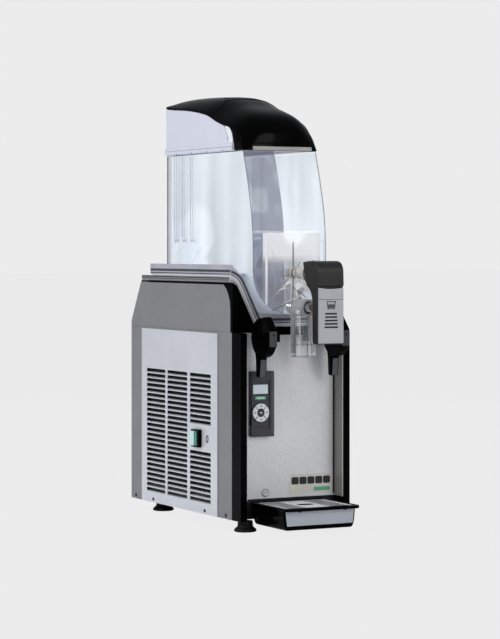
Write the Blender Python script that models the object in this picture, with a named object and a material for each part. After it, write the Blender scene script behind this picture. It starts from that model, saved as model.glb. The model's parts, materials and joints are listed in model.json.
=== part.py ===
"""Counter-top slushie machine with one bowl, built as separate pieces.

Units are metres. +X is the viewer's right, the front faces -Y and +Z is up.
The origin is on the counter, under the middle of the cabinet.
"""

import math

import bmesh
import bpy
from mathutils import Matrix, Vector

# ---------------------------------------------------------------- driving dimensions
GAP = 0.0003  # clearance between touching pieces
SHEET = 0.0015  # cabinet sheet thickness

HALF_WIDTH = 0.121  # cabinet
REAR_Y = 0.251
COLUMN_FRONT_Y = -0.250
COLUMN_REAR_Y = -0.213
COLUMN_INNER_X = 0.107
FASCIA_Y = (-0.216, -0.2063)  # front and back of the black plate above the pillars
BASE_Z = 0.0213
CHAMFER_Z = 0.395
SHELL_TOP_Z = 0.477
SHELL_TOP_REAR_Y = 0.204
SPLIT_Z = 0.384  # seam between the lower shell and the cap

DECK_Z = 0.4925  # crest of the deck, whose trough runs from front to back
DECK_CREST = (-0.126, 0.4625)  # centre of the rounded crest on the left side
DECK_LEAN = 26  # degrees from upright
DECK_FLOOR = (0.397, 0.020)  # height of the trough floor and radius of its corners
DECK_FRONT_Y = -0.2032
DECK_REAR_Y = 0.201
DECK_EDGE = 0.011  # height of the turned-down edge
GASKET_LAYER = (GAP, 0.0038)  # distance above the deck, bottom and top
SKIRT_ABOVE_DECK = 0.0041
SKIRT_CREST = (-0.134, 0.4726)  # centre of the bowl skirt's rounded crest
SKIRT_CREST_RADIUS = 0.044
SKIRT_LEAN = 27.5
SKIRT_FLOOR = (0.4185, 0.030)
SKIRT_TOP_Z = 0.516
SKIRT_HALF_WIDTH = 0.117
SKIRT_FRONT_Y = -0.2005

AXIS_Z = 0.500  # drum, auger and round bowl bottom share this axis
BOWL_HALF_WIDTH = 0.082
BOWL_WALL = 0.0025
BOWL_RIM_Z = 0.739
BOWL_REAR_Y = 0.1585
BOWL_FRONT = ((-0.184, 0.739), (-0.200, 0.690), (-0.211, 0.651), (-0.2205, 0.610), (-0.226, 0.560))
PAD_TOP_Z = 0.578
PAD_FRONT_Y = -0.2385
DRUM_RADIUS = 0.065
DRUM_FRONT_Y = -0.190
DRUM_REAR_Y = 0.150
AUGER_RADIUS = 0.0775
AUGER_TURNS = 3.0

TAP_Y = -0.278
TAP_AXIS_Z = 0.4335
TAP_BORE = 0.0135
SPOUT_BOTTOM_Z = 0.338
HANDLE_PIVOT = (-0.286, 0.500)
HANDLE_FRONT_Y = -0.389

LATCH_PIVOT = (-0.269, 0.376)
LATCH_X = (0.071, 0.0885)
LATCH_RADIUS = 0.038

MOTOR_Z = 0.345
BIG_PULLEY = 0.045
SMALL_PULLEY = 0.015

LOUVRE_COLUMNS = ((0.0823, 0.1716), (-0.020, 0.0729), (-0.125, -0.0315))
LOUVRE_ROWS = 25
LOUVRE_PITCH = 0.0103
LOUVRE_FIRST_Z = 0.0480
LOUVRE_SLOT = 0.0055
SWITCH_Y = -0.0675
SWITCH_Z = 0.170

TRAY_HALF_WIDTH = 0.082
TRAY_FRONT_Y = -0.361
TRAY_REAR_Y = -0.2175
TRAY_TOP_Z = 0.055
TRAY_BOTTOM_Z = 0.012

KEY_CENTRE = (-0.0670, 0.229)
LID_HALF_WIDTH = 0.0835

# ---------------------------------------------------------------- materials
PALETTE = {
    "grey_paint": ((0.24, 0.245, 0.26), 0.45, 0.0),
    "gloss_black": ((0.012, 0.012, 0.013), 0.15, 0.0),
    "black_plastic": ((0.025, 0.025, 0.026), 0.45, 0.0),
    "brown_black": ((0.03, 0.026, 0.025), 0.40, 0.0),
    "stainless": ((0.60, 0.61, 0.62), 0.32, 1.0),
    "silver_plate": ((0.33, 0.35, 0.37), 0.40, 0.4),
    "clear": ((0.85, 0.89, 0.95), 0.06, 0.0),
    "lid_white": ((0.68, 0.71, 0.80), 0.35, 0.0),
    "white_plastic": ((0.80, 0.81, 0.82), 0.40, 0.0),
    "rubber": ((0.02, 0.02, 0.02), 0.80, 0.0),
    "pale_rubber": ((0.55, 0.56, 0.58), 0.65, 0.0),
    "copper": ((0.72, 0.32, 0.18), 0.30, 1.0),
    "aluminium": ((0.72, 0.73, 0.74), 0.35, 1.0),
    "brown_plastic": ((0.16, 0.09, 0.06), 0.45, 0.0),
    "green_switch": ((0.03, 0.38, 0.30), 0.25, 0.0),
}


def material(name):
    """Return the material of that palette name, made once."""
    found = bpy.data.materials.get(name)
    if found:
        return found
    colour, roughness, metallic = PALETTE[name]
    made = bpy.data.materials.new(name)
    made.use_nodes = True
    shader = made.node_tree.nodes["Principled BSDF"]
    shader.inputs["Base Color"].default_value = (*colour, 1.0)
    shader.inputs["Roughness"].default_value = roughness
    shader.inputs["Metallic"].default_value = metallic
    return made


# ---------------------------------------------------------------- mesh helpers
def clear_scene():
    for item in list(bpy.data.objects):
        bpy.data.objects.remove(item, do_unlink=True)


def finish(name, mesh_data, slot, origin=(0, 0, 0), smooth=False):
    """Turn a bmesh in world coordinates into a named object with its origin at a point."""
    bmesh.ops.recalc_face_normals(mesh_data, faces=mesh_data.faces)
    bmesh.ops.translate(mesh_data, verts=mesh_data.verts, vec=-Vector(origin))
    mesh = bpy.data.meshes.new(name)
    mesh_data.to_mesh(mesh)
    mesh_data.free()
    made = bpy.data.objects.new(name, mesh)
    made.location = origin
    bpy.context.scene.collection.objects.link(made)
    if slot:
        mesh.materials.append(material(slot))
    if smooth:
        mesh.shade_smooth()
        mesh.set_sharp_from_angle(angle=math.radians(35))
    return made


def as_cutter(item):
    """Mark an object as a guide that the build leaves out."""
    item.hide_render = True
    item.display_type = "WIRE"
    return item


def boolean(target, other, operation):
    modifier = target.modifiers.new(operation.title(), "BOOLEAN")
    modifier.operation = operation
    modifier.solver = "EXACT"
    modifier.object = as_cutter(other)
    return target


def cut(target, *others):
    for other in others:
        boolean(target, other, "DIFFERENCE")
    return target


def join(target, *others):
    for other in others:
        boolean(target, other, "UNION")
    return target


def keep(target, *others):
    for other in others:
        boolean(target, other, "INTERSECT")
    return target


def box(name, low, high, slot=None, origin=(0, 0, 0)):
    data = bmesh.new()
    size = Vector(high) - Vector(low)
    centre = (Vector(high) + Vector(low)) / 2
    place = Matrix.Translation(centre) @ Matrix.Diagonal((*size, 1.0))
    bmesh.ops.create_cube(data, size=1.0, matrix=place)
    return finish(name, data, slot, origin)


def prism(name, outline, axis, low, high, slot=None, origin=(0, 0, 0), smooth=False):
    """Extrude a closed outline along an axis. The outline holds the other two coordinates."""
    order = {"x": lambda a, b, s: (s, a, b), "y": lambda a, b, s: (a, s, b), "z": lambda a, b, s: (a, b, s)}
    data = bmesh.new()
    ring = [data.verts.new(order[axis](a, b, low)) for a, b in outline]
    face = data.faces.new(ring)
    grown = bmesh.ops.extrude_face_region(data, geom=[face])
    moved = [item for item in grown["geom"] if isinstance(item, bmesh.types.BMVert)]
    bmesh.ops.translate(data, verts=moved, vec=order[axis](0, 0, high - low))
    return finish(name, data, slot, origin, smooth)


def lathe(name, profile, axis, centre, slot=None, steps=32, origin=(0, 0, 0)):
    """Turn a closed profile of (radius, position) points about an axis through a centre point."""
    turn = {
        "x": lambda r, t, s: (s, r * math.cos(t), r * math.sin(t)),
        "y": lambda r, t, s: (r * math.cos(t), s, r * math.sin(t)),
        "z": lambda r, t, s: (r * math.cos(t), r * math.sin(t), s),
    }[axis]
    data = bmesh.new()
    rings = []
    for radius, along in profile:
        count = steps if radius > 0 else 1
        ring = [turn(radius, math.tau * i / steps, along) for i in range(count)]
        rings.append([data.verts.new(Vector(point) + Vector(centre)) for point in ring])
    loops = list(zip(rings, rings[1:] + rings[:1]))
    for first, second in loops:
        if len(first) == 1 and len(second) == 1:
            continue
        for i in range(steps):
            corners = [first[i % len(first)], first[(i + 1) % len(first)]]
            corners += [second[(i + 1) % len(second)], second[i % len(second)]]
            face = [v for k, v in enumerate(corners) if v not in corners[:k]]
            data.faces.new(face)
    return finish(name, data, slot, origin, smooth=True)


def rod(name, radius, axis, centre, low, high, slot=None, steps=32, origin=(0, 0, 0)):
    """A solid round bar between two positions on an axis."""
    profile = ((0, low), (radius, low), (radius, high), (0, high))
    return lathe(name, profile, axis, centre, slot, steps, origin)


def sweep(name, path, radius, slot, sides=8, origin=(0, 0, 0)):
    """A round bar along a path of points."""
    points = [Vector(point) for point in path]
    data = bmesh.new()
    rings = []
    side = None
    for i, point in enumerate(points):
        before = points[max(i - 1, 0)]
        after = points[min(i + 1, len(points) - 1)]
        along = (after - before).normalized()
        guess = side if side else along.orthogonal()
        side = (guess - guess.dot(along) * along).normalized()
        up = along.cross(side)
        turns = [math.tau * k / sides for k in range(sides)]
        rings.append([data.verts.new(point + radius * (math.cos(t) * side + math.sin(t) * up)) for t in turns])
    for first, second in zip(rings, rings[1:]):
        for k in range(sides):
            nxt = (k + 1) % sides
            data.faces.new((first[k], first[nxt], second[nxt], second[k]))
    data.faces.new(rings[0])
    data.faces.new(rings[-1])
    return finish(name, data, slot, origin, smooth=True)


def rounded_path(corners, radius, steps=4):
    """Points along straight runs whose corners are rounded."""
    points = [Vector(corners[0])]
    for before, corner, after in zip(corners, corners[1:], corners[2:]):
        corner = Vector(corner)
        start = corner + radius * (Vector(before) - corner).normalized()
        end = corner + radius * (Vector(after) - corner).normalized()
        for i in range(steps + 1):
            t = i / steps
            points.append((1 - t) ** 2 * start + 2 * t * (1 - t) * corner + t**2 * end)
    points.append(Vector(corners[-1]))
    return points


def arc(centre, radius, start, end, steps):
    """Points on a circle between two angles in degrees."""
    angles = [math.radians(start + (end - start) * i / steps) for i in range(steps + 1)]
    return [(centre[0] + radius * math.cos(t), centre[1] + radius * math.sin(t)) for t in angles]


def rectangle(low, high):
    return [(low[0], low[1]), (high[0], low[1]), (high[0], high[1]), (low[0], high[1])]


def mirrored(low_x, high_x, side):
    """The same x range on the left (side -1) or on the right (side +1)."""
    return (side * high_x, side * low_x) if side < 0 else (low_x, high_x)


# ---------------------------------------------------------------- trough sections
def trough(crest, crest_radius, first_angle, lean, floor_z, floor_radius):
    """Left half of a trough seen from the front: over the crest, down the slope, round to the floor."""
    over = arc(crest, crest_radius, first_angle, lean, 6)
    floor_centre_z = floor_z + floor_radius
    meet_z = floor_centre_z - floor_radius * math.sin(math.radians(lean))
    meet_x = over[-1][0] + (over[-1][1] - meet_z) * math.tan(math.radians(lean))
    floor_centre = (meet_x + floor_radius * math.cos(math.radians(lean)), floor_centre_z)
    return over + arc(floor_centre, floor_radius, 180 + lean, 270, 6)


def both_halves(left):
    return left + [(-x, z) for x, z in reversed(left)]


def deck_trough(offset, half_width):
    """Left half of the deck's section, moved out from its top face by a distance."""
    radius = DECK_Z - DECK_CREST[1] + offset
    first = math.degrees(math.acos((-half_width - DECK_CREST[0]) / radius))
    floor_z, floor_radius = DECK_FLOOR
    return trough(DECK_CREST, radius, first, DECK_LEAN, floor_z + offset, floor_radius - offset)


def deck_band(name, bottom, top, half_width, low_y, high_y, slot=None):
    """A layer that follows the deck between two distances above it."""
    outline = both_halves(deck_trough(top, half_width))
    outline += both_halves(deck_trough(bottom, half_width))[::-1]
    return prism(name, outline, "y", low_y, high_y, slot)


# ---------------------------------------------------------------- cabinet
def shell_corner():
    """Rounded front top corner of the grey cap, from the top edge down."""
    return [(-0.176, SHELL_TOP_Z), (-0.188, 0.470), (-0.197, 0.459), (-0.2035, 0.446), (-0.206, 0.430)]


def build_side(side):
    tag = "left" if side < 0 else "right"
    outer = mirrored(HALF_WIDTH - SHEET, HALF_WIDTH, side)
    lower = rectangle((COLUMN_REAR_Y + GAP, BASE_Z), (REAR_Y, SPLIT_Z))
    shell = prism(f"side_shell_{tag}", lower, "x", *outer, "grey_paint")
    window = mirrored(HALF_WIDTH - 0.003, HALF_WIDTH + 0.002, side)
    cut(shell, box(f"cut_side_{tag}", (window[0], -0.138, 0.036), (window[1], 0.182, 0.366)))

    cap = [(REAR_Y, SPLIT_Z + GAP), (REAR_Y, CHAMFER_Z), (SHELL_TOP_REAR_Y, SHELL_TOP_Z), *shell_corner()]
    cap += [(-0.206, SPLIT_Z + GAP)]
    prism(f"side_cap_{tag}", cap, "x", *outer, "grey_paint")

    plate = mirrored(HALF_WIDTH + GAP, HALF_WIDTH + GAP + 0.0012, side)
    panel = box(f"louvre_panel_{tag}", (plate[0], -0.153, 0.0216), (plate[1], 0.1965, 0.381), "stainless")
    cut(panel, build_slots(tag, plate))
    build_column(side, tag)


def build_slots(tag, plate):
    """One cutter with every louvre slot, leaving room for the switch on the left side."""
    data = bmesh.new()
    for low_y, high_y in LOUVRE_COLUMNS:
        for row in range(LOUVRE_ROWS):
            z = LOUVRE_FIRST_Z + row * LOUVRE_PITCH
            beside_switch = low_y < SWITCH_Y < high_y and abs(z - SWITCH_Z) < 0.027
            if beside_switch and tag == "left":
                continue
            centre = ((plate[0] + plate[1]) / 2, (low_y + high_y) / 2, z)
            size = (0.006, high_y - low_y, LOUVRE_SLOT, 1.0)
            bmesh.ops.create_cube(data, size=1.0, matrix=Matrix.Translation(centre) @ Matrix.Diagonal(size))
    if tag == "left":
        size = (0.006, 0.0306, 0.0356, 1.0)
        centre = ((plate[0] + plate[1]) / 2, SWITCH_Y, SWITCH_Z)
        bmesh.ops.create_cube(data, size=1.0, matrix=Matrix.Translation(centre) @ Matrix.Diagonal(size))
    return finish(f"cut_slots_{tag}", data, None)


def build_column(side, tag):
    """Black front column: pillar, curved fascia above it and a thin strip over the grey cap."""
    front, back = FASCIA_Y
    pillar = mirrored(COLUMN_INNER_X, HALF_WIDTH, side)
    low, high = (pillar[0], COLUMN_FRONT_Y, BASE_Z), (pillar[1], COLUMN_REAR_Y, SPLIT_Z)
    column = box(f"front_column_{tag}", low, high, "gloss_black")
    join(column, box(f"join_tab_{tag}", (pillar[0], front, 0.375), (pillar[1], COLUMN_REAR_Y, 0.392)))

    curve = deck_trough(-DECK_EDGE - GAP, HALF_WIDTH)[:-1]
    plate = curve + [(curve[-1][0], SPLIT_Z), (-HALF_WIDTH, SPLIT_Z)]
    fascia = [(-side * x, z) for x, z in plate]
    join(column, prism(f"join_fascia_{tag}", fascia, "y", front, back))

    top_z = DECK_Z - DECK_EDGE - 0.0005
    under_cap = [(y - GAP, z + GAP) for y, z in shell_corner()]
    strip = [(front, SPLIT_Z), (front, top_z), (DECK_REAR_Y, top_z), (DECK_REAR_Y, SHELL_TOP_Z + GAP)]
    strip += under_cap + [(under_cap[-1][0], SPLIT_Z)]
    join(column, prism(f"join_strip_{tag}", strip, "x", *mirrored(HALF_WIDTH - 0.0035, HALF_WIDTH, side)))


def build_deck():
    half = HALF_WIDTH - 0.0005
    plate = deck_band("deck_pan", -0.003, 0.0, half, DECK_FRONT_Y, DECK_REAR_Y, "stainless")
    join(plate, deck_band("join_front_lip", -DECK_EDGE, 0.0, 0.1172, DECK_FRONT_Y, DECK_FRONT_Y + 0.005))
    for side in (-1, 1):
        lip = mirrored(half - 0.003, half, side)
        low, high = (lip[0], DECK_FRONT_Y, DECK_Z - DECK_EDGE), (lip[1], DECK_REAR_Y, 0.4908)
        join(plate, box(f"join_lip_{side}", low, high))
    cut(plate, box("cut_drive_gap", (-0.054, 0.163, 0.370), (0.054, 0.210, 0.510)))

    gasket = deck_band("flange_gasket", *GASKET_LAYER, 0.1185, DECK_FRONT_Y + 0.001, 0.148, "pale_rubber")
    cut(gasket, box("cut_gasket", (-0.0960, -0.1900, 0.370), (0.0960, 0.160, 0.510)))


def build_front():
    inner = COLUMN_INNER_X - GAP
    outline = [(-inner, -0.2485), (-inner, -0.2150), (inner, -0.2150), (inner, -0.2485)]
    outline += [(inner - 0.0012, -0.2485), (inner - 0.0012, -0.2165)]
    outline += [(-inner + 0.0012, -0.2165), (-inner + 0.0012, -0.2485)]
    prism("front_panel", outline, "z", 0.060, SPLIT_Z - 0.0005, "stainless")

    bracket = box("latch_bracket", (-0.070, -0.2500, 0.380), (0.070, -0.2455, 0.396), "black_plastic")
    for side in (-1, 1):
        lug = mirrored(0.062, 0.070, side)
        strut = mirrored(0.034, 0.048, side)
        pin = mirrored(0.066, COLUMN_INNER_X - 0.0006, side)
        join(bracket, box(f"join_lug_{side}", (lug[0], -0.2775, 0.366), (lug[1], -0.2475, 0.394)))
        join(bracket, box(f"join_strut_{side}", (strut[0], -0.248, 0.366), (strut[1], -0.2168, 0.383)))
        join(bracket, rod(f"join_pin_{side}", 0.004, "x", (0, *LATCH_PIVOT), *pin, steps=16))


def build_base():
    pan = box("base_pan", (-0.1165, -0.2125, BASE_Z), (0.1165, 0.2465, 0.0590), "black_plastic")
    cut(pan, box("cut_pan", (-0.115, -0.211, 0.0230), (0.115, 0.245, 0.070)))
    slant = [(0.2500, BASE_Z + 0.0005), (0.2500, CHAMFER_Z - 0.0005), (0.2035, SHELL_TOP_Z - 0.0005)]
    slant += [(0.2020, SHELL_TOP_Z - 0.0015), (0.2485, CHAMFER_Z - 0.001), (0.2485, BASE_Z + 0.0005)]
    rear = prism("rear_panel", slant, "x", -0.1187, 0.1187, "stainless")
    data = bmesh.new()
    for row in range(10):
        for x in (-0.055, 0.055):
            place = Matrix.Translation((x, 0.25, 0.150 + row * 0.016)) @ Matrix.Diagonal((0.08, 0.02, 0.006, 1))
            bmesh.ops.create_cube(data, size=1.0, matrix=place)
    cut(rear, finish("cut_rear_slots", data, None))
    cut(rear, rod("cut_cord_hole", 0.0065, "y", (0.080, 0, 0.075), 0.240, 0.260, steps=16))
    bell = ((0, 0.0), (0.022, 0.0), (0.0210, 0.006), (0.0155, 0.0105), (0.0145, 0.0210), (0, 0.0210))
    places = {"front_left": (-0.0985, -0.226), "front_right": (0.0985, -0.226)}
    places |= {"rear_left": (-0.085, 0.170), "rear_right": (0.085, 0.170)}
    for tag, (x, y) in places.items():
        lathe(f"foot_{tag}", bell, "z", (x, y, 0), "rubber", steps=24)


# ---------------------------------------------------------------- cooling and drive
def build_cooling():
    profile = ((0, 0.0250), (0.060, 0.0250), (0.066, 0.034), (0.066, 0.130), (0.056, 0.156), (0.030, 0.168),
               (0, 0.170))
    lathe("compressor", profile, "z", (0.035, 0.120, 0), "gloss_black", steps=32)

    condenser = box("condenser", (-0.104, -0.105, 0.062), (-0.080, 0.105, 0.272), "aluminium")
    data = bmesh.new()
    for row in range(16):
        z = 0.070 + row * 0.0126
        place = Matrix.Translation((-0.104, 0, z)) @ Matrix.Diagonal((0.018, 0.190, 0.005, 1))
        bmesh.ops.create_cube(data, size=1.0, matrix=place)
    cut(condenser, finish("cut_fins", data, None))

    shroud = box("fan_shroud", (-0.0797, -0.100, 0.067), (-0.0777, 0.100, 0.267), "black_plastic")
    join(shroud, rod("join_ring", 0.082, "x", (0, 0, 0.167), -0.079, -0.052, steps=40))
    cut(shroud, rod("cut_ring", 0.0795, "x", (0, 0, 0.167), -0.090, -0.040, steps=40))

    lathe("fan_motor", ((0, -0.046), (0.026, -0.046), (0.028, -0.042), (0.028, -0.010), (0, -0.010)), "x",
          (0, 0, 0.167), "black_plastic", steps=24)
    build_fan()

    hot = [(0.010, 0.120, 0.1715), (0.010, 0.120, 0.300), (-0.092, 0.120, 0.300), (-0.092, 0.080, 0.300)]
    hot += [(-0.092, 0.080, 0.2725)]
    sweep("discharge_pipe", rounded_path(hot, 0.012), 0.003, "copper")


def build_fan():
    centre = (-0.064, 0, 0.167)
    hub = lathe("fan", ((0, -0.009), (0.018, -0.009), (0.018, 0.008), (0, 0.008)), "x", centre, "aluminium",
                steps=20, origin=centre)
    data = bmesh.new()
    for blade in range(5):
        turn = Matrix.Rotation(math.tau * blade / 5, 4, "X")
        pitch = Matrix.Rotation(math.radians(28), 4, "Z")
        size = Matrix.Diagonal((0.0016, 0.034, 0.060, 1))
        place = Matrix.Translation(centre) @ turn @ Matrix.Translation((0, 0, 0.0455)) @ pitch @ size
        bmesh.ops.create_cube(data, size=1.0, matrix=place)
    join(hub, finish("join_blades", data, None))


def build_drum():
    profile = ((0.0095, DRUM_FRONT_Y), (0.058, DRUM_FRONT_Y), (DRUM_RADIUS, DRUM_FRONT_Y + 0.006))
    profile += ((DRUM_RADIUS, DRUM_REAR_Y), (0.0785, DRUM_REAR_Y), (0.0785, 0.158), (0.061, 0.158))
    profile += ((0.061, DRUM_FRONT_Y + 0.008), (0.0095, DRUM_FRONT_Y + 0.008))
    lathe("evaporator_drum", profile, "y", (0, 0, AXIS_Z), "white_plastic", steps=40)
    seal = ((0.0655, 0.1400), (0.0790, 0.1400), (0.0792, 0.1440), (0.0790, 0.1497), (0.0655, 0.1497))
    lathe("bowl_seal", seal, "y", (0, 0, AXIS_Z), "pale_rubber", steps=40)
    plug = ((0.0085, 0.150), (0.0605, 0.150), (0.0605, 0.1610), (0.030, 0.1670), (0.0085, 0.1670))
    lathe("drum_end_plate", plug, "y", (0, 0, AXIS_Z), "aluminium", steps=32)


def build_auger():
    """Helix that scrapes round the drum, driven at its front by the shaft through the drum."""
    origin = (0, 0, AXIS_Z)
    start, end = DRUM_FRONT_Y - 0.006, 0.130
    steps = int(AUGER_TURNS * 20)
    data = bmesh.new()
    rings = []
    for i in range(steps + 1):
        t = math.tau * AUGER_TURNS * i / steps
        y = start + (end - start) * i / steps
        corners = ((0.0705, -0.004), (AUGER_RADIUS, -0.003), (AUGER_RADIUS, 0.003), (0.0705, 0.004))
        rings.append([data.verts.new((r * math.cos(t), y + d, AXIS_Z + r * math.sin(t))) for r, d in corners])
    for first, second in zip(rings, rings[1:]):
        for k in range(4):
            nxt = (k + 1) % 4
            data.faces.new((first[k], first[nxt], second[nxt], second[k]))
    data.faces.new(rings[0])
    data.faces.new(rings[-1])
    auger = finish("auger", data, "white_plastic", origin, smooth=True)
    for side in (-1, 1):
        bar = mirrored(0.0715, 0.0765, side)
        low, high = (bar[0], start - 0.002, AXIS_Z - 0.003), (bar[1], end, AXIS_Z + 0.003)
        join(auger, box(f"join_bar_{side}", low, high))
    arm = box("join_arm", (-0.0750, start - 0.0035, AXIS_Z - 0.009), (0.0750, start + 0.0035, AXIS_Z + 0.009))
    hub = lathe("join_hub", ((0, start - 0.006), (0.026, start - 0.006), (0.030, start - 0.002),
                             (0.030, start + 0.0045), (0, start + 0.0045)), "y", origin, steps=32)
    join(auger, arm, hub)
    cut(auger, rod("cut_hub", 0.0083, "y", origin, start - 0.010, start + 0.010, steps=24))
    rod("drive_shaft", 0.0080, "y", origin, start - 0.006, 0.1950, "stainless", steps=24, origin=origin)
    rod("auger_nose", 0.0090, "y", origin, -0.2300, start - 0.0063, "brown_plastic", steps=24, origin=origin)


def build_belt_drive():
    top, low = (0, AXIS_Z), (0, MOTOR_Z)
    origin = (0, 0.177, AXIS_Z)
    rim = ((0.0083, 0.1700), (BIG_PULLEY + 0.0015, 0.1700), (BIG_PULLEY + 0.0015, 0.1715), (BIG_PULLEY, 0.1715),
           (BIG_PULLEY, 0.1825), (BIG_PULLEY + 0.0015, 0.1825), (BIG_PULLEY + 0.0015, 0.1840), (0.0083, 0.1840))
    lathe("drive_pulley", rim, "y", (0, 0, AXIS_Z), "aluminium", steps=40, origin=origin)
    origin = (0, 0.177, MOTOR_Z)
    stub = ((0, 0.150), (0.005, 0.150), (0.005, 0.1700), (SMALL_PULLEY, 0.1700), (SMALL_PULLEY, 0.1840),
            (0, 0.1840))
    lathe("motor_pulley", stub, "y", (0, 0, MOTOR_Z), "aluminium", steps=28, origin=origin)
    belt = prism("drive_belt", pear(top, BIG_PULLEY + 0.0022, low, SMALL_PULLEY + 0.0022), "y", 0.1725, 0.1815,
                 "rubber", smooth=True)
    inner = pear(top, BIG_PULLEY + 0.0004, low, SMALL_PULLEY + 0.0004)
    cut(belt, prism("cut_belt", inner, "y", 0.165, 0.190))
    cover = prism("drive_cover", pear(top, 0.052, low, 0.022), "y", 0.1690, 0.1990, "white_plastic", smooth=True)
    cut(cover, prism("cut_cover", pear(top, 0.0500, low, 0.0200), "y", 0.160, 0.1970))
    case = ((0, 0.085), (0.032, 0.085), (0.036, 0.090), (0.036, 0.1600), (0.030, 0.1650), (0.0055, 0.1650),
            (0.0055, 0.1490), (0, 0.1490))
    lathe("drive_motor", case, "y", (0, 0, MOTOR_Z), "black_plastic", steps=32)


def pear(top, top_radius, low, low_radius):
    """Outline round two circles, one above the other."""
    lean = math.degrees(math.asin((top_radius - low_radius) / (top[1] - low[1])))
    upper = arc(top, top_radius, -lean, 180 + lean, 28)
    lower = arc(low, low_radius, 180 + lean, 360 - lean, 14)
    return upper + lower


# ---------------------------------------------------------------- bowl and tap
def bowl_block(name, inset, rear_y):
    """Outer (inset 0) or inner solid of the bowl: round bottom, straight sides, leaning front."""
    half = BOWL_HALF_WIDTH - inset
    front = [(y + inset, z) for y, z in BOWL_FRONT]
    top = BOWL_RIM_Z if inset == 0 else BOWL_RIM_Z + 0.010
    section = arc((0, AXIS_Z), half, 180, 360, 32) + [(half, top), (-half, top)]
    low_front = BOWL_FRONT[-1][0] + inset
    block = prism(name, section, "y", low_front, rear_y, smooth=True)
    side = [(rear_y + 0.002, 0.40), (rear_y + 0.002, top + 0.002), (front[0][0] + 0.003, top + 0.002)]
    side += [*front, (low_front - 0.0005, 0.40)]
    keep(block, prism(f"keep_{name}", side, "x", -0.1, 0.1))
    return block


def build_skirt():
    """Collar under the bowl's front, with a shoulder along each side that rests on the gasket."""
    first = math.degrees(math.acos((-0.111 - SKIRT_CREST[0]) / SKIRT_CREST_RADIUS))
    top = trough(SKIRT_CREST, SKIRT_CREST_RADIUS, first, SKIRT_LEAN, *SKIRT_FLOOR)
    top = [(-SKIRT_HALF_WIDTH, SKIRT_TOP_Z), *top]
    bottom = deck_trough(SKIRT_ABOVE_DECK, SKIRT_HALF_WIDTH)
    outline = both_halves(top) + both_halves(bottom)[::-1]
    skirt = prism("join_skirt", outline, "y", SKIRT_FRONT_Y, 0.166)
    return cut(skirt, box("cut_skirt", (-0.104, -0.185, 0.370), (0.104, 0.180, 0.4930)))


def build_bowl():
    origin = (0, 0, AXIS_Z)
    bowl = bowl_block("bowl", 0.0, BOWL_REAR_Y)
    bowl.data.materials.append(material("clear"))
    join(bowl, build_skirt(), box("join_web", (-0.1045, -0.190, 0.4925), (0.1045, 0.158, 0.4985)))
    pad = arc((0, AXIS_Z), BOWL_HALF_WIDTH, 222, 318, 16) + [(0.061, PAD_TOP_Z), (-0.061, PAD_TOP_Z)]
    join(bowl, prism("join_pad", pad, "y", PAD_FRONT_Y, -0.2240))
    cut(bowl, bowl_block("cut_bowl", BOWL_WALL, BOWL_REAR_Y - BOWL_WALL))
    cut(bowl, rod("cut_drum_way", BOWL_HALF_WIDTH - BOWL_WALL, "y", origin, 0.100, 0.180, steps=64))
    cut(bowl, rod("cut_journal", 0.0093, "y", origin, -0.2345, -0.200, steps=24))
    cut(bowl, rod("cut_outlet", 0.0115, "y", (0, 0, TAP_AXIS_Z), -0.245, -0.200, steps=24))


def build_tap():
    centre = (0, 0, TAP_AXIS_Z)
    body = rod("tap_body", 0.0165, "y", centre, -0.3050, -0.2389, "clear", steps=32)
    join(body, rod("join_spout", 0.024, "z", (0, TAP_Y, 0), SPOUT_BOTTOM_Z, TAP_AXIS_Z, steps=32))
    cut(body, rod("cut_spout", 0.0205, "z", (0, TAP_Y, 0), SPOUT_BOTTOM_Z - 0.01, TAP_AXIS_Z - 0.004, steps=32))
    cut(body, rod("cut_barrel", TAP_BORE, "y", centre, -0.320, -0.230, steps=32))

    origin = (0, -0.242, TAP_AXIS_Z)
    groove = ((0, -0.3590), (0.005, -0.3590), (0.005, -0.2950), (0.0128, -0.2950), (0.0128, -0.2530),
              (0.0100, -0.2530), (0.0100, -0.2480), (0.0128, -0.2480), (0.0128, -0.2400), (0, -0.2400))
    lathe("tap_piston", groove, "y", centre, "white_plastic", steps=28, origin=origin)
    ring = ((0.0103, -0.2527), (0.0131, -0.2520), (0.0132, -0.2505), (0.0131, -0.2490), (0.0103, -0.2483))
    lathe("piston_ring", ring, "y", centre, "rubber", steps=28, origin=origin)


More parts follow.
